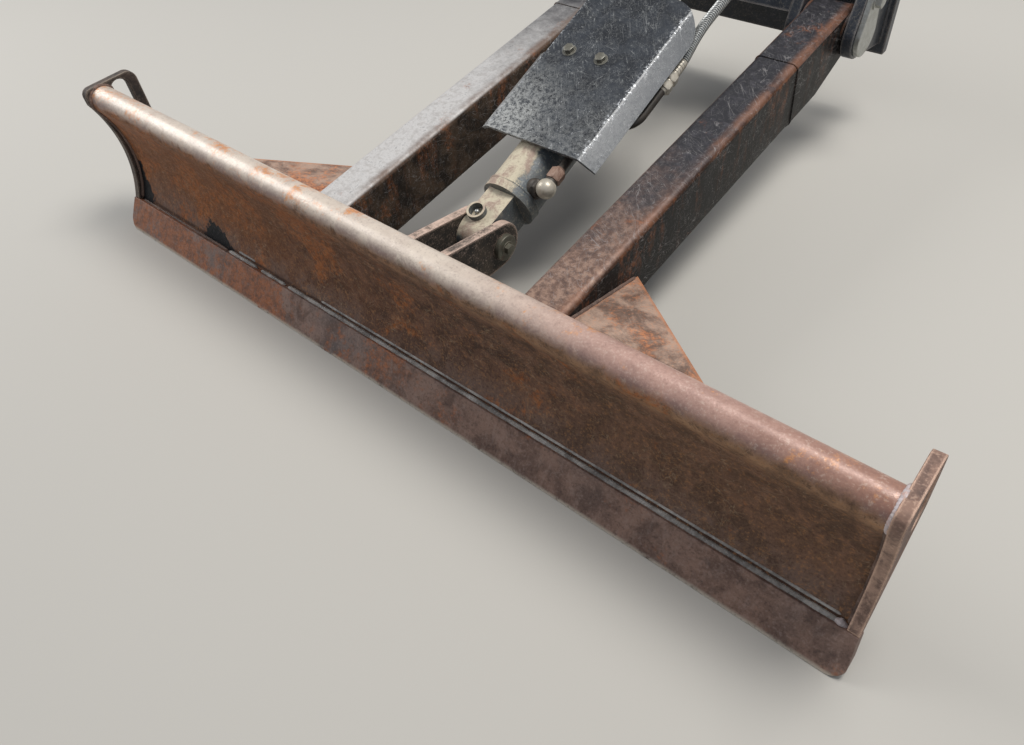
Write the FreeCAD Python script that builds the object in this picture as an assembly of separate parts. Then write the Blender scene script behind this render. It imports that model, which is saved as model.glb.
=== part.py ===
import FreeCAD, Part
import math
import os

from FreeCAD import Vector

# Levelling blade of a compact excavator, with its push arms, its lift cylinder and the frame nose that
# carries them. Millimetres. Side-view places are pairs (back, up): back is measured rearwards from the
# cutting edge's front corner, up from the ground it stands on. X runs along the blade. The last step moves
# every piece into the part's frame, whose origin is the middle of the frame plate's rear face, the face that
# goes onto the machine.

# Blade
BLADE_WIDTH = 1236.0
END_PLATE_THICKNESS = 12.0
EDGE_TOP = (28.0, 43.0)
EDGE_THICKNESS = 18.0
EDGE_CORNER_RADIUS = 18.0
EDGE_LEDGE = 8.5
SHEET_THICKNESS = 8.0
FACE_RADIUS = 164.0
ROLL_CENTRE = (55.0, 208.0)
ROLL_RADIUS = 20.0
ROLL_END_DEG = -25.0

# End plates
PLATE_NOSE = (31.0, 207.0)
PLATE_TOP = 230.5
PLATE_SETBACK = 2.0
PLATE_BACK = 116.0
PLATE_FRONT_BULGE = 19.0
PLATE_NOSE_RADIUS = 12.0
PLATE_REAR_RADIUS = 16.0
PLATE_REAR_LOW = 150.0
TIE_HOLE_CENTRE = (85.0, 192.0)
TIE_HOLE_WIDTH = 29.0
TIE_HOLE_HEIGHT = 66.0

# The two ends by name and side. The right one is knocked inwards: its plate's foot is set in, and it leans.
SIDES = (("left", -1), ("right", 1))
RIGHT_END_INSET = 6.0
RIGHT_END_LEAN_DEG = 3.2
END_INSET = {-1: 0.0, 1: RIGHT_END_INSET}
END_LEAN_DEG = {-1: 0.0, 1: RIGHT_END_LEAN_DEG}
BEYOND = 100.0
SEAT_ALLOWANCE = 4.0

# Channel behind the sheet
CHANNEL_BACK = 92.0
CHANNEL_LOW = 62.0
CHANNEL_HIGH = 130.0
CHANNEL_THICKNESS = 6.0

# What is welded to the sheet is drawn from here and trimmed to the sheet's back
WELD_START = 30.0

# Push arms and their pivot: a welded box as far as its joint, then a solid end
PIVOT = (823.0, 180.0)
ARM_SLOPE = 0.0925
ARM_DEPTH = 98.0
ARM_WIDTH = 63.0
ARM_WALL = 6.0
ARM_JOINT_BACK = 656.0
ARM_TAPER_BACK = 745.0
ARM_CORNER_RADIUS = 9.0
ARM_END_CHAMFER = 5.0
ARM_END_RADIUS = 37.0
ARM_CENTRE_X = 181.0
ARM_BOSS_RADIUS = 32.0
ARM_BOSS_PROUD = 3.5
ARM_PIN_RADIUS = 17.5

# Gussets between arm and sheet
GUSSET_THICKNESS = 9.0
GUSSET_ROOT_BACK = 64.0
GUSSET_APEX_BACK = 268.0
GUSSET_APEX_UP = 104.0
GUSSET_TO_END = 135.5
GUSSET_SLOPE = 0.263

# Clevis on the blade
CLEVIS_PIN = (218.0, 104.0)
CLEVIS_GAP = 44.0
CLEVIS_PLATE = 13.0
CLEVIS_TIP_RADIUS = 32.0
CLEVIS_ROOT_HIGH = 174.0
CLEVIS_ROOT_LOW = 78.0
CLEVIS_PIN_RADIUS = 15.0
CLEVIS_PIN_PROUD = 8.0
CLEVIS_HEAD_RADIUS = 18.0
CLEVIS_HEAD = 8.0

# Cylinder
REAR_PIN = (768.0, 288.3)
EYE_RADIUS = 30.0
EYE_SIDE_GAP = 1.0
EYE_NECK = 56.0
NIPPLE_RING_X = -8.0
NIPPLE_RING_STATION = 15.0
NIPPLE_RING_RADIUS = 13.0
NIPPLE_RING_BORE = 10.0
NIPPLE_RING_RISE = 8.0
NIPPLE_SEAT = 4.0
BARREL_START = 58.0
BARREL_CAP_LENGTH = 14.0
BARREL_CAP_RADIUS = 40.0
BARREL_RADIUS = 38.5
BARREL_BORE_RADIUS = 32.5
BARREL_END = 395.0
GLAND_LENGTH = 23.0
GLAND_RADIUS = 40.0
ROD_RADIUS = 17.5
ROD_INNER_START = 230.0
PISTON_LENGTH = 30.0
REAR_PIN_RADIUS = 14.5
REAR_PIN_PROUD = 6.0
REAR_HEAD_RADIUS = 22.0
ROD_EYE_BORE = 21.0
ROD_EYE_RADIUS = 32.0
ROD_EYE_SIDE_GAP = 2.0

# Clearances
RUNNING_FIT = 0.15

# Guard over the cylinder
GUARD_HEIGHT = 44.0
GUARD_SHEET = 4.0
GUARD_START = 130.0
GUARD_END = 415.0
GUARD_LEFT = -75.0
GUARD_RIGHT = 80.0
GUARD_FOLD_DEG = 35.0
GUARD_FOLD_RADIUS = 5.0
GUARD_RIGHT_FLANGE = 29.0
GUARD_LEFT_FLANGE = 12.0
GUARD_LEFT_FLANGE_END = 272.0
GUARD_CORNER_RADIUS = 60.0
BRACKET_START = 262.0
BRACKET_END = 312.0
BRACKET_HALF_WIDTH = 46.0
BRACKET_CENTRE_X = -15.0
BRACKET_SHOULDER = 6.0
SADDLE_THICKNESS = 7.0
SADDLE_LOW = 10.0

# Hydraulic lines
PORT_STATION = 86.0
PORT_RISE_DEG = 27.0
ROD_PORT_STATION = 372.0
PORT_RADIUS = 12.0
PORT_REACH = 55.0
PORT_BOSS_START = 20.0
KNUCKLE_SEAT = 6.0
KNUCKLE_RADIUS = 13.0
KNUCKLE_CHAMFER = 6.5
NECK_RADIUS = 8.0
NECK_LENGTH = 31.0
NUT_LENGTH = 17.0
NUT_FLATS = 19.0
LINE_X = 96.0
LINE_LEVEL = 12.0
FITTING_START = 296.0
FITTING_LENGTH = 27.0
PIPE_RADIUS = 6.0
PIPE_LEAD = 60.0
PIPE_BEND = 40.0
HOSE_RADIUS = 7.0
HOSE_LEAD = 42.0
HOSE_FIRST_RUN = 23.0
LINE_SIDES = 12

# Where the hoses turn and end: along the cylinder's axis and square to it
HOSE_SET_IN = (412.0, 8.0)
HOSE_ENTRY = (540.0, 0.0)
HOSE_END = (680.0, -35.0)
SLOT_X = 84.0

# Frame nose: lugs for the arms, a leaning front wall between them, and the plate behind
LUG_RADIUS = 34.5
LUG_THICKNESS = 17.0
LUG_GAP = 1.5
LUG_FOOT_ABOVE_PLATE = 16.0
MOUNT_BEHIND_PIVOT = 107.0
FRAME_PLATE_THICKNESS = 16.0
FRAME_BELOW_PIVOT = 68.0
FRAME_ABOVE_REAR_PIN = 61.7
FRAME_SIDE_MARGIN = 10.5
NOSE_TOP_BELOW_PLATE = 4.0
NOSE_TOP_LENGTH = 45.0
NOSE_WALL = 10.0
NOSE_WALL_INSET = 3.0
NOSE_WALL_START = 8.0
CYLINDER_LUG_GAP = 44.0
CYLINDER_LUG = 14.0
CYLINDER_LUG_RADIUS = 35.0
CYLINDER_LUG_FOOT = 52.0
CYLINDER_LUG_HEAD = 152.0
NOSE_SLOT_WIDTH = 38.0
NOSE_SLOT_START = 70.0
NOSE_SLOT_END = 151.0
PLATE_SLOT_WIDTH = 60.0
PLATE_SLOT_HEIGHT = 116.0
PLATE_SLOT_BELOW_TOP = 34.0
KEEPER_THICKNESS = 8.0
KEEPER_RADIUS = 30.0
KEEPER_TAB_RADIUS = 16.0
KEEPER_TAB_BACK = 3.0
KEEPER_TAB_UP = 51.0


def side_point(x, place):
    """A side-view place as a point in space at one x."""
    return Vector(x, place[0], place[1])


def line(a, b):
    return Part.LineSegment(a, b).toShape()


def arc(a, middle, b):
    return Part.Arc(a, middle, b).toShape()


def on_circle(centre, radius, degrees):
    """The side-view place on a circle at an angle, 0 pointing back and 90 pointing up."""
    angle = math.radians(degrees)
    return (centre[0] + radius * math.cos(angle), centre[1] + radius * math.sin(angle))


def slab(edges, width):
    """A closed side-view outline drawn at one x, thickened along +X."""
    return Part.Face(Part.Wire(edges)).extrude(Vector(width, 0, 0))


def polygon_slab(places, x, width):
    """A slab with straight sides through side-view places."""
    points = [side_point(x, place) for place in places]
    return slab([line(a, b) for a, b in zip(points, points[1:] + points[:1])], width)


def belt_edges(rounds, x):
    """The outline that a tight belt makes round circles (back, up, radius), listed anticlockwise."""
    count = len(rounds)
    tangents = []
    for index in range(count):
        y0, z0, r0 = rounds[index]
        y1, z1, r1 = rounds[(index + 1) % count]
        span = math.hypot(y1 - y0, z1 - z0)
        dy, dz = (y1 - y0) / span, (z1 - z0) / span
        lean = (r0 - r1) / span
        out = math.sqrt(1.0 - lean * lean)
        my, mz = dy * lean + dz * out, dz * lean - dy * out
        tangents.append(((y0 + r0 * my, z0 + r0 * mz), (y1 + r1 * my, z1 + r1 * mz), math.atan2(mz, my)))
    edges = []
    for index in range(count):
        start, end, turn_in = tangents[index]
        edges.append(line(side_point(x, start), side_point(x, end)))
        y1, z1, r1 = rounds[(index + 1) % count]
        following, _, turn_out = tangents[(index + 1) % count]
        if r1 > 0:
            sweep = (turn_out - turn_in) % (2.0 * math.pi)
            middle = on_circle((y1, z1), r1, math.degrees(turn_in + sweep / 2.0))
            edges.append(arc(side_point(x, end), side_point(x, middle), side_point(x, following)))
    return edges


def belt(rounds, x, width):
    """A slab whose outline is a belt round circles (back, up, radius)."""
    return slab(belt_edges(rounds, x), width)


def cross_rod(place, radius, x0, x1):
    """A round bar along X."""
    return Part.makeCylinder(radius, x1 - x0, side_point(x0, place), Vector(1, 0, 0))


def box(x0, x1, y0, y1, z0, z1):
    return Part.makeBox(x1 - x0, y1 - y0, z1 - z0, Vector(x0, y0, z0))


def circle_meeting(near, near_distance, far, far_distance):
    """The place in front of two others, at its own distance from each."""
    span = math.hypot(far[0] - near[0], far[1] - near[1])
    along = (near_distance ** 2 - far_distance ** 2 + span ** 2) / (2.0 * span)
    aside = math.sqrt(near_distance ** 2 - along ** 2)
    dy, dz = (far[0] - near[0]) / span, (far[1] - near[1]) / span
    return (near[0] + dy * along - dz * aside, near[1] + dz * along + dy * aside)


# Cutting edge: a bar that leans back, with a ledge in front of the sheet
EDGE_LENGTH = math.hypot(*EDGE_TOP)
EDGE_ALONG = (EDGE_TOP[0] / EDGE_LENGTH, EDGE_TOP[1] / EDGE_LENGTH)
EDGE_ACROSS = (EDGE_ALONG[1], -EDGE_ALONG[0])


def on_edge_top(distance):
    """A place on the cutting edge's top face, at a distance behind its front corner."""
    return (EDGE_TOP[0] + EDGE_ACROSS[0] * distance, EDGE_TOP[1] + EDGE_ACROSS[1] * distance)


SEAM = on_edge_top(EDGE_LEDGE)
EDGE_REAR_TOP = on_edge_top(EDGE_THICKNESS)
EDGE_REAR_LOW = (EDGE_THICKNESS / EDGE_ALONG[1], 0.0)
FACE_CENTRE = circle_meeting(SEAM, FACE_RADIUS, ROLL_CENTRE, FACE_RADIUS + ROLL_RADIUS)
SHEET_BACK_RADIUS = FACE_RADIUS + SHEET_THICKNESS
HALF_BLADE = BLADE_WIDTH / 2.0
SHEET_HALF = HALF_BLADE - END_PLATE_THICKNESS


def degrees_from(centre, place):
    return math.degrees(math.atan2(place[1] - centre[1], place[0] - centre[0]))


def edge_top_at_radius(radius):
    """Where a circle about the face's centre crosses the cutting edge's top face."""
    oy, oz = EDGE_TOP[0] - FACE_CENTRE[0], EDGE_TOP[1] - FACE_CENTRE[1]
    half = oy * EDGE_ACROSS[0] + oz * EDGE_ACROSS[1]
    distance = -half + math.sqrt(half * half - (oy * oy + oz * oz) + radius * radius)
    return on_edge_top(distance)


def beyond_edge(side):
    """The space outside one end of the cutting edge, which leans in to the foot of its end plate."""
    x0, x1 = sorted((side * HALF_BLADE, side * (HALF_BLADE + BEYOND)))
    space = box(x0, x1, -BEYOND, BEYOND, -BEYOND, BEYOND)
    lean = math.degrees(math.atan2(END_INSET[side], EDGE_TOP[1]))
    space.rotate(Vector(side * HALF_BLADE, 0, 0), Vector(0, 1, 0), -side * lean)
    return space


def make_cutting_edge():
    """The bar that scrapes: its lower corners are worn round and its right end is knocked in."""
    bar = polygon_slab([(0.0, 0.0), EDGE_TOP, EDGE_REAR_TOP, EDGE_REAR_LOW], -HALF_BLADE, BLADE_WIDTH)
    corners = [e for e in bar.Edges if abs(e.BoundBox.XLength) < 1e-6
               and abs(abs(e.CenterOfMass.x) - HALF_BLADE) < 1e-6 and e.BoundBox.ZMax < 1e-6]
    bar = bar.makeFillet(EDGE_CORNER_RADIUS, corners)
    for _, side in SIDES:
        bar = bar.cut(beyond_edge(side))
    return bar


def make_mouldboard():
    """The sheet: concave in front, rolled over at the top, standing on the cutting edge."""
    roll_inner = ROLL_RADIUS - SHEET_THICKNESS
    low_back = edge_top_at_radius(SHEET_BACK_RADIUS)
    join_deg = degrees_from(FACE_CENTRE, ROLL_CENTRE)
    front_mid_deg = (degrees_from(FACE_CENTRE, SEAM) + join_deg) / 2.0
    back_mid_deg = (degrees_from(FACE_CENTRE, low_back) + join_deg) / 2.0
    roll_start_deg = join_deg + 180.0
    roll_mid_deg = (roll_start_deg + ROLL_END_DEG) / 2.0
    x = -SHEET_HALF - SEAT_ALLOWANCE
    front_mid = side_point(x, on_circle(FACE_CENTRE, FACE_RADIUS, front_mid_deg))
    front_join = side_point(x, on_circle(FACE_CENTRE, FACE_RADIUS, join_deg))
    back_join = side_point(x, on_circle(FACE_CENTRE, SHEET_BACK_RADIUS, join_deg))
    lip_outer = side_point(x, on_circle(ROLL_CENTRE, ROLL_RADIUS, ROLL_END_DEG))
    lip_inner = side_point(x, on_circle(ROLL_CENTRE, roll_inner, ROLL_END_DEG))
    sheet = slab([
        arc(side_point(x, SEAM), front_mid, front_join),
        arc(front_join, side_point(x, on_circle(ROLL_CENTRE, ROLL_RADIUS, roll_mid_deg)), lip_outer),
        line(lip_outer, lip_inner),
        arc(lip_inner, side_point(x, on_circle(ROLL_CENTRE, roll_inner, roll_mid_deg)), back_join),
        arc(back_join, side_point(x, on_circle(FACE_CENTRE, SHEET_BACK_RADIUS, back_mid_deg)),
            side_point(x, low_back)),
        line(side_point(x, low_back), side_point(x, SEAM)),
    ], 2.0 * (SHEET_HALF + SEAT_ALLOWANCE))
    return trimmed_to_ends(sheet)


def trimmed_to_ends(shape):
    """Cuts a long piece back to the inner faces of both end plates."""
    for _, side in SIDES:
        shape = shape.cut(beyond_end(side))
    return shape


def in_front_of_sheet():
    """The round space that the sheet's back wraps, for trimming what is welded to it."""
    return cross_rod(FACE_CENTRE, SHEET_BACK_RADIUS, -HALF_BLADE, HALF_BLADE)


def leaning(shape, side):
    """Tips an upright end piece inwards about the foot of its inner face, and sets it in."""
    foot = Vector(side * SHEET_HALF, 0, EDGE_TOP[1])
    tipped = shape.copy()
    tipped.rotate(foot, Vector(0, 1, 0), -side * END_LEAN_DEG[side])
    tipped.translate(Vector(-side * END_INSET[side], 0, 0))
    return tipped


def beyond_end(side):
    """The space outside one end plate's inner face, for trimming what meets it."""
    x0, x1 = sorted((side * SHEET_HALF, side * (SHEET_HALF + BEYOND)))
    return leaning(box(x0, x1, -BEYOND, MOUNT_BACK, -BEYOND, PLATE_TOP + BEYOND), side)


def make_end_plate(side, edge):
    """One end plate, with the tie-down slot behind the roll, seated on the cutting edge."""
    x = side * (HALF_BLADE - END_PLATE_THICKNESS / 2.0) - END_PLATE_THICKNESS / 2.0
    low = (-EDGE_ALONG[0] * SEAT_ALLOWANCE, -EDGE_ALONG[1] * SEAT_ALLOWANCE)
    front_foot = on_edge_top(PLATE_SETBACK)
    front_low = (front_foot[0] + low[0], front_foot[1] + low[1])
    rear_low = (EDGE_REAR_TOP[0] + low[0], EDGE_REAR_TOP[1] + low[1])
    nose_back = PLATE_NOSE[0] + PLATE_NOSE_RADIUS
    front_mid = ((front_low[0] + PLATE_NOSE[0]) / 2.0 + PLATE_FRONT_BULGE,
                 (front_low[1] + PLATE_NOSE[1]) / 2.0)
    nose_mid = on_circle((nose_back, PLATE_TOP - PLATE_NOSE_RADIUS), PLATE_NOSE_RADIUS, 135.0)
    rear_centre = (PLATE_BACK - PLATE_REAR_RADIUS, PLATE_TOP - PLATE_REAR_RADIUS)
    p = [side_point(x, place) for place in (
        front_low, front_mid, PLATE_NOSE, (PLATE_NOSE[0], PLATE_TOP - PLATE_NOSE_RADIUS), nose_mid,
        (nose_back, PLATE_TOP), (rear_centre[0], PLATE_TOP), on_circle(rear_centre, PLATE_REAR_RADIUS, 45.0),
        (PLATE_BACK, rear_centre[1]), (PLATE_BACK, PLATE_REAR_LOW), rear_low)]
    plate = slab([
        arc(p[0], p[1], p[2]), line(p[2], p[3]), arc(p[3], p[4], p[5]), line(p[5], p[6]),
        arc(p[6], p[7], p[8]), line(p[8], p[9]), line(p[9], p[10]), line(p[10], p[0]),
    ], END_PLATE_THICKNESS)
    reach = (TIE_HOLE_HEIGHT - TIE_HOLE_WIDTH) / 2.0
    radius = TIE_HOLE_WIDTH / 2.0
    y, z = TIE_HOLE_CENTRE
    plate = plate.cut(belt([(y, z - reach, radius), (y, z + reach, radius)], x, END_PLATE_THICKNESS))
    return leaning(plate, side).cut(edge)


# Both arms' top and bottom edges: straight lines that rise rearwards and pass the pivot at the end's radius
ARM_LEAN = math.atan(ARM_SLOPE)
ARM_TOP_OFFSET = ARM_END_RADIUS / math.cos(ARM_LEAN)
ARM_LOW_OFFSET = ARM_TOP_OFFSET - ARM_DEPTH / math.cos(ARM_LEAN)


def arm_edge(back, offset):
    """A place on a line along the arm, at a height over the line through its pivot."""
    return (back, PIVOT[1] + (back - PIVOT[0]) * ARM_SLOPE + offset)


def make_arm(side):
    """A box arm with rounded long edges, trimmed to the sheet in front and ending at its joint behind."""
    x = side * ARM_CENTRE_X - ARM_WIDTH / 2.0
    outline = [arm_edge(WELD_START, ARM_LOW_OFFSET), arm_edge(ARM_JOINT_BACK, ARM_LOW_OFFSET),
               arm_edge(ARM_JOINT_BACK, ARM_TOP_OFFSET), arm_edge(WELD_START, ARM_TOP_OFFSET)]
    arm = polygon_slab(outline, x, ARM_WIDTH)
    long_edges = [e for e in arm.Edges if e.BoundBox.YLength > ARM_DEPTH]
    arm = arm.makeFillet(ARM_CORNER_RADIUS, long_edges)
    wall = ARM_WALL / math.cos(ARM_LEAN)
    inner = [arm_edge(WELD_START, ARM_LOW_OFFSET + wall), arm_edge(ARM_JOINT_BACK, ARM_LOW_OFFSET + wall),
             arm_edge(ARM_JOINT_BACK, ARM_TOP_OFFSET - wall), arm_edge(WELD_START, ARM_TOP_OFFSET - wall)]
    hollow = polygon_slab(inner, x + ARM_WALL, ARM_WIDTH - 2.0 * ARM_WALL)
    return arm.cut(hollow).cut(in_front_of_sheet())


def make_arm_end(side):
    """The solid end of an arm: it tapers from the joint to a round eye, with a boss on each side."""
    x = side * ARM_CENTRE_X - ARM_WIDTH / 2.0
    low_joint = arm_edge(ARM_JOINT_BACK, ARM_LOW_OFFSET)
    low_taper = arm_edge(ARM_TAPER_BACK, ARM_LOW_OFFSET)
    high_joint = arm_edge(ARM_JOINT_BACK, ARM_TOP_OFFSET)
    end = belt([(*low_joint, 0.0), (*low_taper, 0.0), (*PIVOT, ARM_END_RADIUS), (*high_joint, 0.0)],
               x, ARM_WIDTH)
    rim = [e for e in end.Edges if e.BoundBox.XLength < 1e-6 and e.BoundBox.YLength > 1e-3]
    end = end.makeChamfer(ARM_END_CHAMFER, rim)
    half = ARM_WIDTH / 2.0 + ARM_BOSS_PROUD
    x0, x1 = side * ARM_CENTRE_X - half, side * ARM_CENTRE_X + half
    end = end.fuse(cross_rod(PIVOT, ARM_BOSS_RADIUS, x0, x1))
    return end.cut(cross_rod(PIVOT, ARM_PIN_RADIUS + RUNNING_FIT, x0, x1))


def make_gusset(side):
    """A triangular plate in the corner of arm and sheet, sloping down rearwards."""
    inner = ARM_CENTRE_X + ARM_WIDTH / 2.0
    length = GUSSET_APEX_BACK - WELD_START
    front_up = GUSSET_APEX_UP + length * GUSSET_SLOPE
    span = SHEET_HALF - GUSSET_TO_END - inner
    outer = inner + span * length / (GUSSET_APEX_BACK - GUSSET_ROOT_BACK)
    points = [Vector(side * inner, WELD_START, front_up), Vector(side * outer, WELD_START, front_up),
              Vector(side * inner, GUSSET_APEX_BACK, GUSSET_APEX_UP)]
    face = Part.Face(Part.Wire([line(a, b) for a, b in zip(points, points[1:] + points[:1])]))
    down = Vector(0, -GUSSET_SLOPE, -1.0).normalize() * GUSSET_THICKNESS
    return face.extrude(down).cut(in_front_of_sheet())


def channel_outline():
    return [(WELD_START, CHANNEL_LOW), (CHANNEL_BACK, CHANNEL_LOW),
            (CHANNEL_BACK, CHANNEL_HIGH), (WELD_START, CHANNEL_HIGH)]


def make_channel():
    """The folded channel behind the sheet, in one length outside each arm and one between them."""
    wall = CHANNEL_THICKNESS
    outline = channel_outline()
    hollow = [(WELD_START, CHANNEL_LOW + wall), (CHANNEL_BACK - wall, CHANNEL_LOW + wall),
              (CHANNEL_BACK - wall, CHANNEL_HIGH - wall), (WELD_START, CHANNEL_HIGH - wall)]
    inner, outer = ARM_CENTRE_X - ARM_WIDTH / 2.0, ARM_CENTRE_X + ARM_WIDTH / 2.0
    lengths = []
    for x0, x1 in ((-SHEET_HALF, -outer), (-inner, inner), (outer, SHEET_HALF)):
        length = polygon_slab(outline, x0, x1 - x0).cut(polygon_slab(hollow, x0, x1 - x0))
        lengths.append(trimmed_to_ends(length.cut(in_front_of_sheet())))
    return Part.makeCompound(lengths)


def make_clevis_plate(side):
    x = side * (CLEVIS_GAP + CLEVIS_PLATE) / 2.0 - CLEVIS_PLATE / 2.0
    plate = belt([(WELD_START, CLEVIS_ROOT_LOW, 0.0), (*CLEVIS_PIN, CLEVIS_TIP_RADIUS),
                  (WELD_START, CLEVIS_ROOT_HIGH, 0.0)], x, CLEVIS_PLATE)
    plate = plate.cut(cross_rod(CLEVIS_PIN, CLEVIS_PIN_RADIUS + RUNNING_FIT, x, x + CLEVIS_PLATE))
    return plate.cut(in_front_of_sheet()).cut(polygon_slab(channel_outline(), x, CLEVIS_PLATE))


def make_clevis_pin():
    half = CLEVIS_GAP / 2.0 + CLEVIS_PLATE
    pin = cross_rod(CLEVIS_PIN, CLEVIS_PIN_RADIUS, -half - CLEVIS_PIN_PROUD, half)
    return pin.fuse(cross_rod(CLEVIS_PIN, CLEVIS_HEAD_RADIUS, half, half + CLEVIS_HEAD))


# The cylinder's own frame: x across, y along its axis from the clevis pin, z square to both
CYLINDER_SPAN = math.hypot(REAR_PIN[0] - CLEVIS_PIN[0], REAR_PIN[1] - CLEVIS_PIN[1])
CYLINDER_RISE_DEG = degrees_from(CLEVIS_PIN, REAR_PIN)


def onto_cylinder(shape):
    """Moves a piece drawn in the cylinder's own frame to its place."""
    placed = shape.copy()
    turn = FreeCAD.Rotation(Vector(1, 0, 0), CYLINDER_RISE_DEG)
    placed.Placement = FreeCAD.Placement(side_point(0.0, CLEVIS_PIN), turn)
    return placed


def along(radius, start, end, x=0.0, z=0.0):
    """A round bar along the cylinder's axis."""
    return Part.makeCylinder(radius, end - start, Vector(x, start, z), Vector(0, 1, 0))


def make_base_eye():
    """The cylinder's front eye, with a ring on top that shields its grease nipple."""
    half = CLEVIS_GAP / 2.0 - EYE_SIDE_GAP
    block = belt([(0.0, 0.0, EYE_RADIUS), (BARREL_START, -EYE_NECK / 2.0, 0.0),
                  (BARREL_START, EYE_NECK / 2.0, 0.0)], -half, 2.0 * half)
    foot = Vector(NIPPLE_RING_X, NIPPLE_RING_STATION, EYE_RADIUS / 2.0)
    rise = EYE_RADIUS / 2.0 + NIPPLE_RING_RISE
    block = block.fuse(Part.makeCylinder(NIPPLE_RING_RADIUS, rise, foot, Vector(0, 0, 1)))
    seat = foot + Vector(0, 0, rise - NIPPLE_RING_RISE - NIPPLE_SEAT)
    block = block.cut(Part.makeCylinder(NIPPLE_RING_BORE, rise, seat, Vector(0, 0, 1)))
    return onto_cylinder(block.cut(cross_rod((0.0, 0.0), CLEVIS_PIN_RADIUS + RUNNING_FIT, -half, half)))


def make_barrel():
    cap_end = BARREL_START + BARREL_CAP_LENGTH
    cap = along(BARREL_CAP_RADIUS, BARREL_START, cap_end)
    tube = along(BARREL_RADIUS, cap_end, BARREL_END).cut(along(BARREL_BORE_RADIUS, cap_end, BARREL_END))
    return onto_cylinder(cap.fuse(tube))


def make_gland():
    end = BARREL_END + GLAND_LENGTH
    bore = along(ROD_RADIUS + RUNNING_FIT, BARREL_END, end)
    return onto_cylinder(along(GLAND_RADIUS, BARREL_END, end).cut(bore))


def make_rod():
    rod = along(ROD_RADIUS, ROD_INNER_START, CYLINDER_SPAN)
    piston = along(BARREL_BORE_RADIUS - RUNNING_FIT, ROD_INNER_START, ROD_INNER_START + PISTON_LENGTH)
    rod = rod.fuse(piston)
    eye_width = CYLINDER_LUG_GAP / 2.0
    return onto_cylinder(rod.cut(cross_rod((CYLINDER_SPAN, 0.0), ROD_EYE_RADIUS, -eye_width, eye_width)))


def make_rod_eye():
    half = CYLINDER_LUG_GAP / 2.0 - ROD_EYE_SIDE_GAP
    eye = cross_rod((CYLINDER_SPAN, 0.0), ROD_EYE_RADIUS, -half, half)
    return onto_cylinder(eye.cut(cross_rod((CYLINDER_SPAN, 0.0), ROD_EYE_BORE, -half, half)))


def lengthwise_edges(shape, places):
    """The edges that run along the cylinder's axis at some places (x, level)."""
    return [e for e in shape.Edges if e.BoundBox.YLength > 1.0
            and any(math.hypot(e.CenterOfMass.x - x, e.CenterOfMass.z - z) < 1e-3 for x, z in places)]


def make_guard():
    """The folded guard: a flat top, a wide flange on the right and a short narrow one on the left."""
    fold = math.radians(GUARD_FOLD_DEG)
    low, high = GUARD_HEIGHT, GUARD_HEIGHT + GUARD_SHEET
    right, left = GUARD_RIGHT_FLANGE, GUARD_LEFT_FLANGE
    edge = (GUARD_SHEET * math.sin(fold), GUARD_SHEET * (1.0 - math.cos(fold)))
    section = [
        (GUARD_LEFT, high),
        (GUARD_LEFT - left * math.cos(fold), high - left * math.sin(fold)),
        (GUARD_LEFT - left * math.cos(fold) + edge[0], low + edge[1] - left * math.sin(fold)),
        (GUARD_LEFT + edge[0], low),
        (GUARD_RIGHT - edge[0], low),
        (GUARD_RIGHT + right * math.cos(fold) - edge[0], low + edge[1] - right * math.sin(fold)),
        (GUARD_RIGHT + right * math.cos(fold), high - right * math.sin(fold)),
        (GUARD_RIGHT, high),
    ]
    points = [Vector(x, GUARD_START, z) for x, z in section]
    face = Part.Face(Part.Wire([line(a, b) for a, b in zip(points, points[1:] + points[:1])]))
    guard = face.extrude(Vector(0, GUARD_END - GUARD_START, 0))
    outside, inside = (section[0], section[7]), (section[3], section[4])
    guard = guard.makeFillet(GUARD_FOLD_RADIUS + GUARD_SHEET, lengthwise_edges(guard, outside))
    guard = guard.makeFillet(GUARD_FOLD_RADIUS, lengthwise_edges(guard, inside))
    guard = guard.cut(box(GUARD_LEFT - left, GUARD_LEFT, GUARD_LEFT_FLANGE_END, GUARD_END, 0.0, high))
    outer = GUARD_RIGHT + right * math.cos(fold)
    corner = Vector(outer - GUARD_CORNER_RADIUS, GUARD_END - GUARD_CORNER_RADIUS, 0)
    rounding = Part.makeCylinder(GUARD_CORNER_RADIUS, high, corner, Vector(0, 0, 1))
    return onto_cylinder(guard.cut(box(corner.x, outer, corner.y, GUARD_END, 0.0, high).cut(rounding)))


def make_guard_bracket():
    """The saddle welded to the barrel, with the flat shoulder that the guard is bolted to."""
    x0, x1 = BRACKET_CENTRE_X - BRACKET_HALF_WIDTH, BRACKET_CENTRE_X + BRACKET_HALF_WIDTH
    pad = box(x0, x1, BRACKET_START, BRACKET_END, SADDLE_LOW, GUARD_HEIGHT)
    inner = along(BARREL_RADIUS, BRACKET_START, BRACKET_END)
    outer = along(BARREL_RADIUS + SADDLE_THICKNESS, BRACKET_START, BRACKET_END)
    shoulder = box(x0, x1, BRACKET_START, BRACKET_END, GUARD_HEIGHT - BRACKET_SHOULDER, GUARD_HEIGHT)
    return onto_cylinder(pad.common(outer).fuse(shoulder).cut(inner))


def rounded_path(points, radius=None):
    """Straight runs through points, with a tangent arc at each corner: of one radius, or as large as fits."""
    edges = []
    start = points[0]
    for before, corner, after in zip(points, points[1:], points[2:]):
        shorter = min((before - corner).Length, (after - corner).Length)
        back, ahead = (before - corner).normalize(), (after - corner).normalize()
        half_turn = back.getAngle(ahead) / 2.0
        bend = radius or 0.45 * shorter * math.tan(half_turn)
        trim = bend / math.tan(half_turn)
        a, b = corner + back * trim, corner + ahead * trim
        inward = (back + ahead).normalize()
        middle = corner + inward * (bend / math.sin(half_turn) - bend)
        edges += [line(start, a), arc(a, middle, b)]
        start = b
    return Part.Wire(edges + [line(start, points[-1])])


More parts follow.
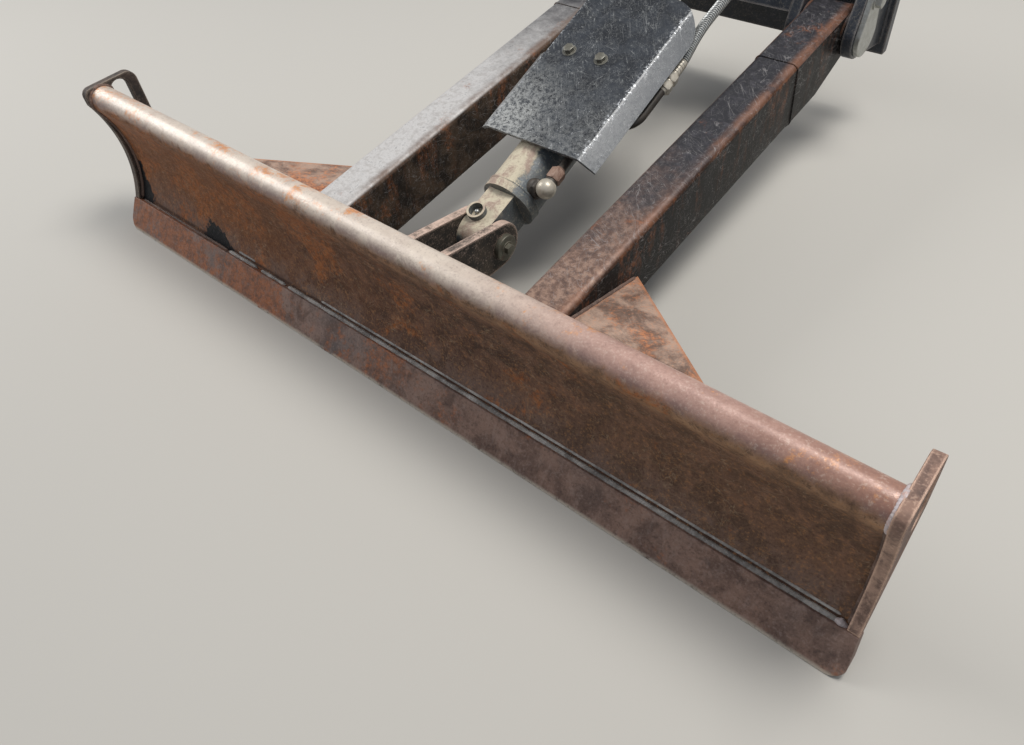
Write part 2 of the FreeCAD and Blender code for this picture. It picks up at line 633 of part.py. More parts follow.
def even_sided(sides, radius, foot, axis):
    """A flat outline with equal sides, whose corners lie on a circle square to an axis."""
    turn = FreeCAD.Rotation(Vector(0, 0, 1), axis)
    corners = [foot + turn.multVec(Vector(*on_circle((0.0, 0.0), radius, 360.0 * i / sides), 0.0))
               for i in range(sides)]
    return Part.makePolygon(corners + corners[:1])


def nut(foot, axis):
    """A hexagonal nut from its foot to the end of its axis."""
    return Part.Face(even_sided(6, NUT_FLATS / math.sqrt(3.0), foot, axis)).extrude(axis)


def tube_along(points, radius, bend=None):
    """A pipe or hose that follows straight runs with rounded corners, with many narrow sides for a round."""
    profile = even_sided(LINE_SIDES, radius, points[0], points[1] - points[0])
    return rounded_path(points, bend).makePipeShell([profile], True, False)


HOSE_START = FITTING_START + FITTING_LENGTH
PORT_DIRECTION = Vector(math.cos(math.radians(PORT_RISE_DEG)), 0, math.sin(math.radians(PORT_RISE_DEG)))


def port_point(side, station, distance):
    """A point out from the barrel's axis, on the line of one port."""
    return Vector(side * PORT_DIRECTION.x * distance, station, PORT_DIRECTION.z * distance)


def make_port(side, station):
    """A port: its boss on the barrel, the elbow that turns the line rearwards and the nut on the elbow."""
    out = Vector(side * PORT_DIRECTION.x, 0, PORT_DIRECTION.z)
    boss = Part.makeCylinder(PORT_RADIUS, PORT_REACH - PORT_BOSS_START,
                             port_point(side, station, PORT_BOSS_START), out)
    boss = boss.cut(along(BARREL_RADIUS, station - PORT_BOSS_START, station + PORT_BOSS_START))
    centre = port_point(side, station, PORT_REACH + KNUCKLE_SEAT)
    knuckle = Part.makeCylinder(KNUCKLE_RADIUS, 2.0 * KNUCKLE_RADIUS, centre - out * KNUCKLE_RADIUS, out)
    knuckle = knuckle.makeChamfer(KNUCKLE_CHAMFER, [e for e in knuckle.Edges if e.isClosed()])
    nut_start = station + NECK_LENGTH - NUT_LENGTH
    neck = along(NECK_RADIUS, station, nut_start, centre.x, centre.z)
    union = nut(Vector(centre.x, nut_start, centre.z), Vector(0, NUT_LENGTH, 0))
    return onto_cylinder(boss.fuse(knuckle).fuse(neck).fuse(union))


def make_pipe():
    """The steel pipe from the front port to the hose fitting, under the guard."""
    start = port_point(1, PORT_STATION + NECK_LENGTH, PORT_REACH + KNUCKLE_SEAT)
    points = [start, start + Vector(0, PIPE_LEAD, 0), Vector(LINE_X, FITTING_START - PIPE_LEAD, LINE_LEVEL),
              Vector(LINE_X, FITTING_START, LINE_LEVEL)]
    return onto_cylinder(tube_along(points, PIPE_RADIUS, PIPE_BEND))


def make_fitting():
    """The nut that joins the steel pipe to the hose."""
    foot = Vector(LINE_X, FITTING_START, LINE_LEVEL)
    return onto_cylinder(nut(foot, Vector(0, FITTING_LENGTH, 0)))


def slot_point(side, station, level):
    """A point of a hose's route where it goes through the nose's slot, in the cylinder's frame."""
    return Vector(side * SLOT_X, station, level)


def make_right_hose():
    """The hose that goes on from the pressure pipe, into the frame nose."""
    points = [Vector(LINE_X, HOSE_START, LINE_LEVEL), Vector(LINE_X, HOSE_START + HOSE_FIRST_RUN, LINE_LEVEL),
              slot_point(1, *HOSE_SET_IN), slot_point(1, *HOSE_ENTRY), slot_point(1, *HOSE_END)]
    return onto_cylinder(tube_along(points, HOSE_RADIUS))


def make_left_hose():
    """The hose from the rear port, out from under the guard and into the frame nose."""
    start = port_point(-1, ROD_PORT_STATION + NECK_LENGTH, PORT_REACH + KNUCKLE_SEAT)
    points = [start, start + Vector(0, HOSE_LEAD, 0), slot_point(-1, *HOSE_ENTRY), slot_point(-1, *HOSE_END)]
    return onto_cylinder(tube_along(points, HOSE_RADIUS))


def make_hose_end(side):
    """The swivel nut that a hose ends in, free inside the nose."""
    bend, end = slot_point(side, *HOSE_ENTRY), slot_point(side, *HOSE_END)
    return onto_cylinder(nut(end, (end - bend).normalize() * NUT_LENGTH))


# The frame nose follows the two pins: its plate reaches below the arms' pin and above the cylinder's
MOUNT_BACK = PIVOT[0] + MOUNT_BEHIND_PIVOT
PLATE_FRONT = MOUNT_BACK - FRAME_PLATE_THICKNESS
FRAME_LOW = PIVOT[1] - FRAME_BELOW_PIVOT
FRAME_HIGH = REAR_PIN[1] + FRAME_ABOVE_REAR_PIN
MOUNT_UP = (FRAME_LOW + FRAME_HIGH) / 2.0
NOSE_TOP = FRAME_HIGH - NOSE_TOP_BELOW_PLATE
NOSE_TOP_FRONT = (PLATE_FRONT - NOSE_TOP_LENGTH, NOSE_TOP)


def lug_x(side, place):
    """The lower x of an arm lug, place -1 for the inner one and 1 for the outer one."""
    half = ARM_WIDTH / 2.0 + ARM_BOSS_PROUD + LUG_GAP
    centre = ARM_CENTRE_X + place * (half + LUG_THICKNESS / 2.0)
    return side * centre - LUG_THICKNESS / 2.0


def make_lug(side, place):
    """A lug that holds one end of an arm's pin, its front edge leaning back to the nose's top."""
    x = lug_x(side, place)
    lug = belt([(*PIVOT, LUG_RADIUS), (PLATE_FRONT, FRAME_LOW + LUG_FOOT_ABOVE_PLATE, 0.0),
                (PLATE_FRONT, NOSE_TOP, 0.0), (*NOSE_TOP_FRONT, 0.0)], x, LUG_THICKNESS)
    return lug.cut(cross_rod(PIVOT, ARM_PIN_RADIUS + RUNNING_FIT, x, x + LUG_THICKNESS))


# The leaning wall: measured up along the lugs' front edge, from where that edge leaves the round end
NOSE_SPAN = math.hypot(NOSE_TOP_FRONT[0] - PIVOT[0], NOSE_TOP_FRONT[1] - PIVOT[1])
NOSE_DEG = degrees_from(PIVOT, NOSE_TOP_FRONT) - math.degrees(math.asin(LUG_RADIUS / NOSE_SPAN))
NOSE_FOOT = on_circle(PIVOT, LUG_RADIUS - NOSE_WALL_INSET, NOSE_DEG + 90.0)
NOSE_WALL_END = math.sqrt(NOSE_SPAN ** 2 - LUG_RADIUS ** 2)


def on_nose(distance, depth=0.0):
    """A side-view place up the leaning wall's front face, and at a depth behind that face."""
    face = on_circle(NOSE_FOOT, distance, NOSE_DEG)
    return on_circle(face, depth, NOSE_DEG - 90.0)


def upright_slot(x, width, low, high, front, depth):
    """A slot with round ends, tall and narrow, that runs rearwards through a plate."""
    radius = width / 2.0
    slot = box(x - radius, x + radius, front, front + depth, low + radius, high - radius)
    for level in (low + radius, high - radius):
        slot = slot.fuse(Part.makeCylinder(radius, depth, Vector(x, front, level), Vector(0, 1, 0)))
    return slot


def make_nose_front():
    """The nose's front wall, drawn upright and leant back, with a tall slot on each side for a hose."""
    inner = lug_x(1, -1)
    wall = box(-inner, inner, 0.0, NOSE_WALL, NOSE_WALL_START, NOSE_WALL_END)
    for side in (-1, 1):
        slot = upright_slot(side * SLOT_X, NOSE_SLOT_WIDTH, NOSE_SLOT_START, NOSE_SLOT_END, 0.0, NOSE_WALL)
        wall = wall.cut(slot)
    wall.Placement = FreeCAD.Placement(side_point(0.0, NOSE_FOOT),
                                       FreeCAD.Rotation(Vector(1, 0, 0), NOSE_DEG - 90.0))
    return wall


def make_nose_deck(low, front):
    """A level plate between the lugs, from the leaning wall back to the frame plate."""
    inner = lug_x(1, -1)
    rise = NOSE_WALL / math.tan(math.radians(NOSE_DEG))
    return polygon_slab([(front, low), (PLATE_FRONT, low), (PLATE_FRONT, low + NOSE_WALL),
                         (front + rise, low + NOSE_WALL)], -inner, 2.0 * inner)


def wall_back_at(level):
    """How far back the leaning wall's rear face is at a height."""
    behind = on_nose(0.0, NOSE_WALL)
    return behind[0] + (level - behind[1]) / math.tan(math.radians(NOSE_DEG))


def make_cylinder_lug(side):
    x = side * (CYLINDER_LUG_GAP + CYLINDER_LUG) / 2.0 - CYLINDER_LUG / 2.0
    lug = belt([(*REAR_PIN, CYLINDER_LUG_RADIUS), (*on_nose(CYLINDER_LUG_FOOT), 0.0),
                (*on_nose(CYLINDER_LUG_HEAD), 0.0)], x, CYLINDER_LUG)
    return lug.cut(cross_rod(REAR_PIN, REAR_PIN_RADIUS + RUNNING_FIT, x, x + CYLINDER_LUG))


def make_frame_plate():
    """The plate that goes onto the machine, with a slot on each side for a hose."""
    half = lug_x(1, 1) + LUG_THICKNESS + FRAME_SIDE_MARGIN
    plate = box(-half, half, PLATE_FRONT, MOUNT_BACK, FRAME_LOW, FRAME_HIGH)
    high = FRAME_HIGH - PLATE_SLOT_BELOW_TOP
    for side in (-1, 1):
        plate = plate.cut(upright_slot(side * SLOT_X, PLATE_SLOT_WIDTH, high - PLATE_SLOT_HEIGHT, high,
                                       PLATE_FRONT, FRAME_PLATE_THICKNESS))
    return plate


def make_arm_pin(side):
    """The arm's pin with its flag, which a bolt keeps from turning."""
    outer = lug_x(1, 1) + LUG_THICKNESS
    inner = lug_x(1, -1)
    x0, x1 = sorted((side * inner, side * outer))
    pin = cross_rod(PIVOT, ARM_PIN_RADIUS, x0, x1)
    flag_x = outer if side > 0 else -outer - KEEPER_THICKNESS
    tab = (PIVOT[0] + KEEPER_TAB_BACK, PIVOT[1] + KEEPER_TAB_UP, KEEPER_TAB_RADIUS)
    return pin.fuse(belt([(*PIVOT, KEEPER_RADIUS), tab], flag_x, KEEPER_THICKNESS))


def make_rear_pin():
    half = CYLINDER_LUG_GAP / 2.0 + CYLINDER_LUG
    pin = cross_rod(REAR_PIN, REAR_PIN_RADIUS, -half - REAR_PIN_PROUD, half)
    return pin.fuse(cross_rod(REAR_PIN, REAR_HEAD_RADIUS, half, half + REAR_PIN_PROUD))


def build():
    """Every piece by name."""
    edge = make_cutting_edge()
    deck_top = NOSE_TOP - NOSE_WALL
    deck_low = on_nose(NOSE_WALL_START)[1]
    pieces = {
        "cutting_edge": edge,
        "mouldboard": make_mouldboard(),
        "back_channel": make_channel(),
        "clevis_pin": make_clevis_pin(),
        "base_eye": make_base_eye(),
        "barrel": make_barrel(),
        "gland": make_gland(),
        "piston_rod": make_rod(),
        "rod_eye": make_rod_eye(),
        "cylinder_guard": make_guard(),
        "guard_bracket": make_guard_bracket(),
        "port_elbows": Part.makeCompound([make_port(1, PORT_STATION), make_port(-1, ROD_PORT_STATION)]),
        "pressure_pipe": make_pipe(),
        "hose_fitting": make_fitting(),
        "hose_right": make_right_hose(),
        "hose_left": make_left_hose(),
        "frame_plate": make_frame_plate(),
        "nose_front": make_nose_front(),
        "nose_top": make_nose_deck(deck_top, wall_back_at(deck_top)),
        "nose_bottom": make_nose_deck(deck_low, wall_back_at(deck_low)),
        "rear_pin": make_rear_pin(),
    }
    for name, side in SIDES:
        pieces["end_plate_" + name] = make_end_plate(side, edge)
        pieces["arm_" + name] = make_arm(side)
        pieces["arm_end_" + name] = make_arm_end(side)
        pieces["gusset_" + name] = make_gusset(side)
        pieces["clevis_plate_" + name] = make_clevis_plate(side)
        pieces["inner_lug_" + name] = make_lug(side, -1)
        pieces["outer_lug_" + name] = make_lug(side, 1)
        pieces["cylinder_lug_" + name] = make_cylinder_lug(side)
        pieces["arm_pin_" + name] = make_arm_pin(side)
        pieces["hose_end_" + name] = make_hose_end(side)
    return pieces


def main():
    os.makedirs("parts", exist_ok=True)
    for name, shape in build().items():
        shape.translate(Vector(0, -MOUNT_BACK, -MOUNT_UP))
        shape.exportStep("parts/" + name + ".step")
        print(name, len(shape.Solids), round(shape.Volume / 1000.0, 1), "cm3", shape.isValid())


main()
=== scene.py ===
"""Dresses a levelling blade with its push arms, lift cylinder and frame nose in a plain studio.

Lengths in the classes are millimetres, in the blade's own numbers: x along the blade, back from the cutting
edge's front corner, up from the ground. The function spot turns them into the frame's metres. What rides with
the lift cylinder is given in the cylinder's numbers: x across, station along its axis from the clevis pin,
level over it. Only the finishes' noises, masks and reliefs are in metres.
"""
from __future__ import annotations

import logging
import math
from dataclasses import dataclass
from enum import Enum
from typing import Callable, Iterable, Sequence

import bpy
import numpy as np
from mathutils import Matrix, Vector

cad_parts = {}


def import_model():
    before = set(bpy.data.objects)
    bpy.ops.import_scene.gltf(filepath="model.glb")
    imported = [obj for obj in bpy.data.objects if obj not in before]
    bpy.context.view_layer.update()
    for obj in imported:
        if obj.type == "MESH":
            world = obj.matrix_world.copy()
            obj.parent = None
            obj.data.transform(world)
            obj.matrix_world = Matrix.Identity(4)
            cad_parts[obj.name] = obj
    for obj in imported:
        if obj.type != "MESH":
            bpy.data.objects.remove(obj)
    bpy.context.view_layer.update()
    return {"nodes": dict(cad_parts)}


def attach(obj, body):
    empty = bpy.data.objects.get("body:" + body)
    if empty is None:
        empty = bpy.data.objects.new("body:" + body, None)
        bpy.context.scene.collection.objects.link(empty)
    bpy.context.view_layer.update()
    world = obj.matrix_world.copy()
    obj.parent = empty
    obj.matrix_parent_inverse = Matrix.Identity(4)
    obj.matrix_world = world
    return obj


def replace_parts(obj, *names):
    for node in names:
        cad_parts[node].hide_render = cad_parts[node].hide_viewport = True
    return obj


LOG = logging.getLogger("levelling_blade")

MM = 0.001
MOUNT_BACK = 930.0
MOUNT_UP = 231.0
CLEVIS_PIN = (218.0, 104.0)
REAR_PIN = (768.0, 288.3)
PIVOT = (823.0, 180.0)
CYLINDER_RISE = math.atan2(REAR_PIN[1] - CLEVIS_PIN[1], REAR_PIN[0] - CLEVIS_PIN[0])
SIDES = ((-1, "left"), (1, "right"))
SMOOTH_WITHIN = math.radians(35.0)
ROUNDED_BEYOND = math.radians(28.0)
FLAT_WITHIN = math.radians(0.3)
SAME_PLACE = 0.00001
LINE_STEP = 0.003
ARC_STEPS = 13
COIL_STEPS = 14

Colour = tuple[float, float, float]
Socket = bpy.types.NodeSocket
Radius = float | Callable[[float, np.ndarray], np.ndarray]


class Body(Enum):
    """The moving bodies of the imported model."""

    FRAME = "frame"
    BLADE = "blade"
    BARREL = "barrel"
    ROD = "rod"


class Slot(Enum):
    """The material slots that the finishes belong to."""

    EDGE_STEEL = "edge_steel"
    BLADE_STEEL = "blade_steel"
    ARM_PAINT = "arm_paint"
    GUARD_PAINT = "guard_paint"
    CYLINDER_PAINT = "cylinder_paint"
    FRAME_PAINT = "frame_paint"
    PIN_STEEL = "pin_steel"
    PIN_ZINC = "pin_zinc"
    LINE_ZINC = "line_zinc"
    HOSE_RUBBER = "hose_rubber"
    ROD_CHROME = "rod_chrome"


class Effect(Enum):
    """Surface effects that several finishes share, each a node group."""

    EDGE_WEAR = "edge wear"
    RUST = "rust"
    SCRATCHES = "scratches"
    DUST = "dust"
    GRAIN = "grain"
    STREAKS = "streaks"
    PITTING = "pitting"


def spot(x: float, back: float, up: float) -> Vector:
    """A place in the blade's numbers, in metres of the frame."""
    return Vector((x, back - MOUNT_BACK, up - MOUNT_UP)) * MM


def height_of(up: float) -> float:
    """A height over the ground, as the frame's z in metres."""
    return spot(0.0, 0.0, up).z


def on_cylinder(x: float, station: float, level: float) -> Vector:
    """A place in the cylinder's numbers, in metres of the frame."""
    along, rise = math.cos(CYLINDER_RISE), math.sin(CYLINDER_RISE)
    back, up = station * along - level * rise, station * rise + level * along
    return spot(x, CLEVIS_PIN[0] + back, CLEVIS_PIN[1] + up)


AHEAD = (on_cylinder(0, 1, 0) - on_cylinder(0, 0, 0)).normalized()
ABOVE = (on_cylinder(0, 0, 1) - on_cylinder(0, 0, 0)).normalized()


def on_circle(centre: Sequence[float], radius: float, degrees: float) -> tuple[float, float]:
    """The side-view place on a circle, 0 degrees pointing back and 90 up."""
    angle = math.radians(degrees)
    return centre[0] + radius * math.cos(angle), centre[1] + radius * math.sin(angle)


def srgb(*shown: int) -> Colour:
    """A colour written as it looks on screen, 0 to 255, in the linear numbers that shaders take."""
    parts = [c / 255.0 for c in shown]
    return tuple(c / 12.92 if c <= 0.04045 else ((c + 0.055) / 1.055) ** 2.4 for c in parts)


def settled(thing: object, **settings: object) -> object:
    """Sets some of a thing's own properties, and gives the thing back."""
    for name, value in settings.items():
        setattr(thing, name, value)
    return thing


def added(name: str, data: bpy.types.ID) -> bpy.types.Object:
    """Puts a mesh, a lamp or a camera into the scene."""
    made = bpy.data.objects.new(name, data)
    bpy.context.scene.collection.objects.link(made)
    return made


@dataclass(frozen=True)
class ArmSizes:
    """What the arms' finish, welds and small pieces follow, in millimetres."""

    centre_x: float = 181.0
    width: float = 63.0
    slope: float = 0.0925
    top_over_pivot: float = 37.16
    depth: float = 98.0
    joint_back: float = 656.0
    corner: float = 9.0
    gusset_apex: tuple[float, float] = (268.0, 104.0)
    gusset_root: float = 64.0
    gusset_to_end: float = 135.5
    gusset_drop: float = 0.263
    gusset_thickness: float = 9.0
    root_up: float = 150.0

    @property
    def sides(self) -> tuple[float, float]:
        """The x of the right arm's inner and outer face."""
        return self.centre_x - self.width / 2.0, self.centre_x + self.width / 2.0

    def top(self, back: float) -> float:
        """The height of an arm's top at a distance back."""
        return PIVOT[1] + (back - PIVOT[0]) * self.slope + self.top_over_pivot


ARMS = ArmSizes()


class Value:
    """An output in a node tree. What is done with it adds a node and gives that node's output."""

    def __init__(self, graph: "Graph", socket: Socket) -> None:
        """Keeps the output and the graph that it belongs to."""
        self.graph = graph
        self.socket = socket

    def __add__(self, other: object) -> "Value":
        """The sum with another value."""
        return self.graph.math("ADD", self, other)

    def __sub__(self, other: object) -> "Value":
        """This value less another."""
        return self.graph.math("SUBTRACT", self, other)

    def __rsub__(self, other: float) -> "Value":
        """A number less this value."""
        return self.graph.math("SUBTRACT", other, self)

    def __mul__(self, other: object) -> "Value":
        """The product with another value."""
        return self.graph.math("MULTIPLY", self, other)

    def size(self) -> "Value":
        """The value without its sign."""
        return self.graph.math("ABSOLUTE", self)

    def most(self, other: object) -> "Value":
        """The larger of this value and another."""
        return self.graph.math("MAXIMUM", self, other)

    def step(self, low: object, high: object, start: float = 0.0, end: float = 1.0) -> "Value":
        """A smooth step from start, where this value is low, to end, where it is high."""
        fed = {0: self, 1: low, 2: high, 3: start, 4: end}
        return self.graph.out("MapRange", fed, interpolation_type="SMOOTHSTEP")

    def near(self, middle: float, reach: float) -> "Value":
        """1 where this value is at a middle, falling to 0 at its reach."""
        return (self - middle).size().step(0.0, reach, 1.0, 0.0)


class Graph:
    """Writes one node tree, around the place on the surface."""

    place: Value

    def __init__(self, tree: bpy.types.NodeTree) -> None:
        """Starts on a tree."""
        self.tree = tree

    def node(self, kind: str, inputs: dict | None = None, **settings: object) -> bpy.types.Node:
        """Adds a shader node.

        Args:
            kind: the node's type, without its ShaderNode prefix.
            inputs: a value for each input, by name or number.
            **settings: the node's own properties.

        Returns:
            The new node.
        """
        made = settled(self.tree.nodes.new("ShaderNode" + kind), **settings)
        for key, value in (inputs or {}).items():
            self.feed(made.inputs[key], value)
        return made

    def out(self, kind: str, inputs: dict | None = None, key: int | str = 0, **settings: object) -> Value:
        """Adds a shader node, as node does, and gives the output with a name or number."""
        return Value(self, self.node(kind, inputs, **settings).outputs[key])

    def feed(self, socket: Socket, value: object) -> None:
        """Links a value to an input, or sets the input's own number or colour."""
        if isinstance(value, Value):
            self.tree.links.new(value.socket, socket)
        elif socket.type == "RGBA":
            socket.default_value = (*value[:3], 1.0)
        else:
            socket.default_value = value

    def math(self, operation: str, a: object, b: object = 0.0) -> Value:
        """One Math node."""
        return self.out("Math", {0: a, 1: b}, operation=operation)

    def axes(self, place: Value) -> list[Value]:
        """The three numbers of a place or a direction."""
        return [Value(self, number) for number in self.node("SeparateXYZ", {0: place}).outputs]

    def facing(self) -> list[Value]:
        """The surface's own normal at rest, as three numbers."""
        return self.axes(self.out("TexCoord", key="Normal"))

    def mix(self, share: object, a: object, b: object) -> Value:
        """Two colours mixed by a share."""
        return self.out("Mix", {0: share, 6: a, 7: b}, 2, data_type="RGBA")

    def noise(self, scale: object, detail: float = 4.0, rough: float = 0.6, twist: float = 0.0,
              place: Value | None = None) -> Value:
        """A noise of about 0.5 with the given spots to the metre, on the surface or on another place."""
        fed = {"Vector": place or self.place, "Scale": scale, "Detail": detail, "Roughness": rough,
               "Distortion": twist}
        return self.out("TexNoise", fed)

    def effect(self, effect: Effect, **inputs: object) -> dict[str, Value]:
        """Places a shared effect's group with this finish's own values, and gives its outputs by name."""
        made = self.node("Group", node_tree=EFFECTS.tree(effect))
        for name, value in {"Place": self.place, **inputs}.items():
            self.feed(made.inputs[name], value)
        return {socket.name: Value(self, socket) for socket in made.outputs}


class Skin(Graph):
    """A material's graph, with the colour as it is laid on so far."""

    def __init__(self, tree: bpy.types.NodeTree) -> None:
        """Starts with the place on the surface, in metres of the frame at rest, and no colour."""
        super().__init__(tree)
        self.place = self.out("TexCoord", key="Object")
        self.colour: object = None

    def base(self, share: Value, a: object, b: object) -> None:
        """Starts the colour with two tones."""
        self.colour = self.mix(share, a, b)

    def over(self, share: object, tone: object) -> None:
        """Lays a tone over the colour."""
        self.colour = self.mix(share, self.colour, tone)

    def rust(self, share: object, scale: float, amount: object, dark: Colour,
             light: Colour) -> dict[str, Value]:
        """Lays rust over the colour.

        Args:
            share: how strongly it covers.
            scale: its patches to the metre.
            amount: how much of the surface it takes.
            dark: its dark tone.
            light: its light tone.

        Returns:
            The effect's outputs.
        """
        rust = self.effect(Effect.RUST, Scale=scale, Amount=amount, Dark=dark, Light=light)
        self.over(rust["Mask"] * share, rust["Color"])
        return rust

    def scratched(self, tone: Colour, scale: float, amount: object) -> None:
        """Lays scratches over the colour."""
        self.over(self.effect(Effect.SCRATCHES, Scale=scale, Amount=amount)["Mask"], tone)

    def streaked(self, tone: Colour, scale: float, amount: float) -> None:
        """Lays upright runs over the colour."""
        self.over(self.effect(Effect.STREAKS, Scale=scale, Amount=amount)["Mask"] * 0.35, tone)

    def specked(self, light: Colour, dark: Colour, share: float, scale: float = 320.0) -> None:
        """Lays fine lighter and darker specks over the colour."""
        grain = self.effect(Effect.GRAIN, Scale=scale)
        self.over(grain["Light"] * share, light)
        self.over(grain["Dark"] * share, dark)

    def worn(self, radius: float, amount: float, scale: float) -> Value:
        """Where corners up to a radius are rubbed."""
        return self.effect(Effect.EDGE_WEAR, Radius=radius, Amount=amount, Scale=scale)["Mask"]

    def close(self, rough: object, metal: object, height: Value, relief: float, **sockets: object) -> None:
        """Ends the material in its shader.

        Args:
            rough: the roughness.
            metal: how metallic it is.
            height: the surface's height.
            relief: how deep the height goes, in metres.
            **sockets: other inputs of the shader, with underscores for spaces.
        """
        bump = self.out("Bump", {"Strength": 1.0, "Distance": relief, "Height": height})
        fed = {"Base Color": self.colour, "Roughness": rough, "Metallic": metal, "Normal": bump}
        fed |= {name.replace("_", " "): value for name, value in sockets.items()}
        self.node("OutputMaterial", {"Surface": self.out("BsdfPrincipled", fed)})


class Effects:
    """The shared effects, each built once as a node group."""

    def __init__(self) -> None:
        """Starts with no group built."""
        self.trees: dict[Effect, bpy.types.NodeTree] = {}

    def tree(self, effect: Effect) -> bpy.types.NodeTree:
        """The node group of an effect, built when it is first asked for."""
        if effect not in self.trees:
            self.trees[effect] = getattr(self, effect.value.replace(" ", "_"))()
        return self.trees[effect]

    @staticmethod
    def start(effect: Effect, **inputs: float | Colour) -> tuple[Graph, dict[str, Value]]:
        """Makes an empty group that is given a place.

        Args:
            effect: the effect that it is for.
            **inputs: its other inputs, each with its default.

        Returns:
            The graph to write in, and what its inputs bring.
        """
        tree = bpy.data.node_groups.new(effect.value, "ShaderNodeTree")
        tree.interface.new_socket(name="Place", in_out="INPUT", socket_type="NodeSocketVector")
        for key, default in inputs.items():
            number = isinstance(default, float)
            kind = "NodeSocketFloat" if number else "NodeSocketColor"
            made = tree.interface.new_socket(name=key, in_out="INPUT", socket_type=kind)
            made.default_value = default if number else (*default, 1.0)
        g = Graph(tree)
        given = {socket.name: Value(g, socket) for socket in tree.nodes.new("NodeGroupInput").outputs}
        g.place = given["Place"]
        return g, given

    @staticmethod
    def end(g: Graph, **outputs: Value) -> bpy.types.NodeTree:
        """Gives the group its outputs by name, and gives back the group."""
        for name in outputs:
            kind = "NodeSocketColor" if name == "Color" else "NodeSocketFloat"
            g.tree.interface.new_socket(name=name, in_out="OUTPUT", socket_type=kind)
        takes = g.tree.nodes.new("NodeGroupOutput")
        for name, value in outputs.items():
            g.feed(takes.inputs[name], value)
        return g.tree

    def edge_wear(self) -> bpy.types.NodeTree:
        """Where corners are rubbed: found by rounding the normals and comparing them, broken up by noise."""
        g, given = self.start(Effect.EDGE_WEAR, Radius=0.004, Amount=0.5, Scale=60.0)
        rounded = g.out("Bevel", {"Radius": given["Radius"]}, samples=4)
        true = g.out("NewGeometry", key="Normal")
        same = g.out("VectorMath", {0: rounded, 1: true}, "Value", operation="DOT_PRODUCT")
        corner = (1.0 - same).step(0.0, 0.13)
        level = corner + (g.noise(given["Scale"], 6.0, 0.7) - 0.5) * 1.6
        low = 1.1 - given["Amount"]
        return self.end(g, Mask=level.step(low, low + 0.22) * corner.step(0.0, 0.2))

    def rust(self) -> bpy.types.NodeTree:
        """Patches of rust with ragged edges, their own two colours and a crusty height."""
        g, given = self.start(Effect.RUST, Scale=14.0, Amount=0.4, Dark=(0.08, 0.03, 0.01),
                              Light=(0.3, 0.1, 0.03))
        fine = g.noise(given["Scale"] * 11.0, 7.0, 0.78)
        level = g.noise(given["Scale"], 5.0, 0.62, 0.5) * 0.66 + fine * 0.34
        low = 0.74 - given["Amount"] * 0.46
        colour = g.mix(fine.step(0.4, 0.62), given["Dark"], given["Light"])
        return self.end(g, Color=colour, Mask=level.step(low, low + 0.1), Height=fine)

    def grain(self) -> bpy.types.NodeTree:
        """Fine specks, lighter and darker than what they lie on."""
        g, given = self.start(Effect.GRAIN, Scale=320.0)
        level = g.noise(given["Scale"], 3.0, 0.7) * 0.6 + g.noise(given["Scale"] * 0.3, 5.0, 0.72) * 0.4
        return self.end(g, Light=level.step(0.51, 0.63), Dark=level.step(0.37, 0.49, 1.0, 0.0))

    def scratches(self) -> bpy.types.NodeTree:
        """Thin curved scratches in three directions, in patches."""
        directions = (((10.0, 14.0, 24.0), (3.5, 190.0, 120.0)), ((-24.0, 8.0, -38.0), (150.0, 4.0, 130.0)),
                      ((40.0, -30.0, 72.0), (5.0, 170.0, 90.0)))
        g, given = self.start(Effect.SCRATCHES, Scale=1.0, Amount=0.5)
        place = g.out("VectorMath", {0: g.place, "Scale": given["Scale"]}, operation="SCALE")
        lines = None
        for turn, scale in directions:
            value = g.noise(1.0, 1.0, 0.4, 0.12, self.stretch(g, place, scale, turn))
            thin = (value - 0.5).size().step(0.0, 0.014, 1.0, 0.0)
            patch = g.noise(26.0, 5.0, 0.7, 0.0, self.stretch(g, place, (1.0, 1.0, 1.0), turn))
            one = thin * patch.step(0.47, 0.6)
            lines = lines.most(one) if lines else one
        return self.end(g, Mask=lines * given["Amount"])

    @staticmethod
    def stretch(g: Graph, place: Value, scale: Sequence[float], turn: Sequence[float]) -> Value:
        """A place turned by degrees and then scaled along each axis."""
        turned = g.out("Mapping", {"Vector": place, "Rotation": [math.radians(t) for t in turn]})
        return g.out("Mapping", {"Vector": turned, "Scale": scale})

    def dust(self) -> bpy.types.NodeTree:
        """Dust that lies on what faces up, thinned by noise."""
        g, given = self.start(Effect.DUST, Amount=0.4, Scale=30.0)
        upward = g.facing()[2].step(-0.1, 0.9, 0.25, 1.0)
        low = 0.75 - given["Amount"] * 0.5
        return self.end(g, Mask=g.noise(given["Scale"], 8.0, 0.72, 0.3).step(low, low + 0.3) * upward)

    def streaks(self) -> bpy.types.NodeTree:
        """Upright runs of water and rubbed soil."""
        g, given = self.start(Effect.STREAKS, Scale=70.0, Amount=0.5)
        narrow = g.out("VectorMath", {0: g.place, 1: (1.0, 0.6, 0.1)}, operation="MULTIPLY")
        low = 0.75 - given["Amount"] * 0.5
        return self.end(g, Mask=g.noise(given["Scale"], 7.0, 0.72, 0.25, narrow).step(low, low + 0.16))

    def pitting(self) -> bpy.types.NodeTree:
        """The height of old steel: pits over a fine grain."""
        g, given = self.start(Effect.PITTING, Scale=260.0)
        pits = g.out("TexVoronoi", {"Vector": g.place, "Scale": given["Scale"]}, "Distance").step(0.05, 0.5)
        deep = pits * g.noise(given["Scale"] * 0.12, 3.0, 0.5).step(0.35, 0.65)
        return self.end(g, Height=deep * 0.5 + g.noise(given["Scale"] * 3.0, 4.0, 0.7) * 0.5)


EFFECTS = Effects()


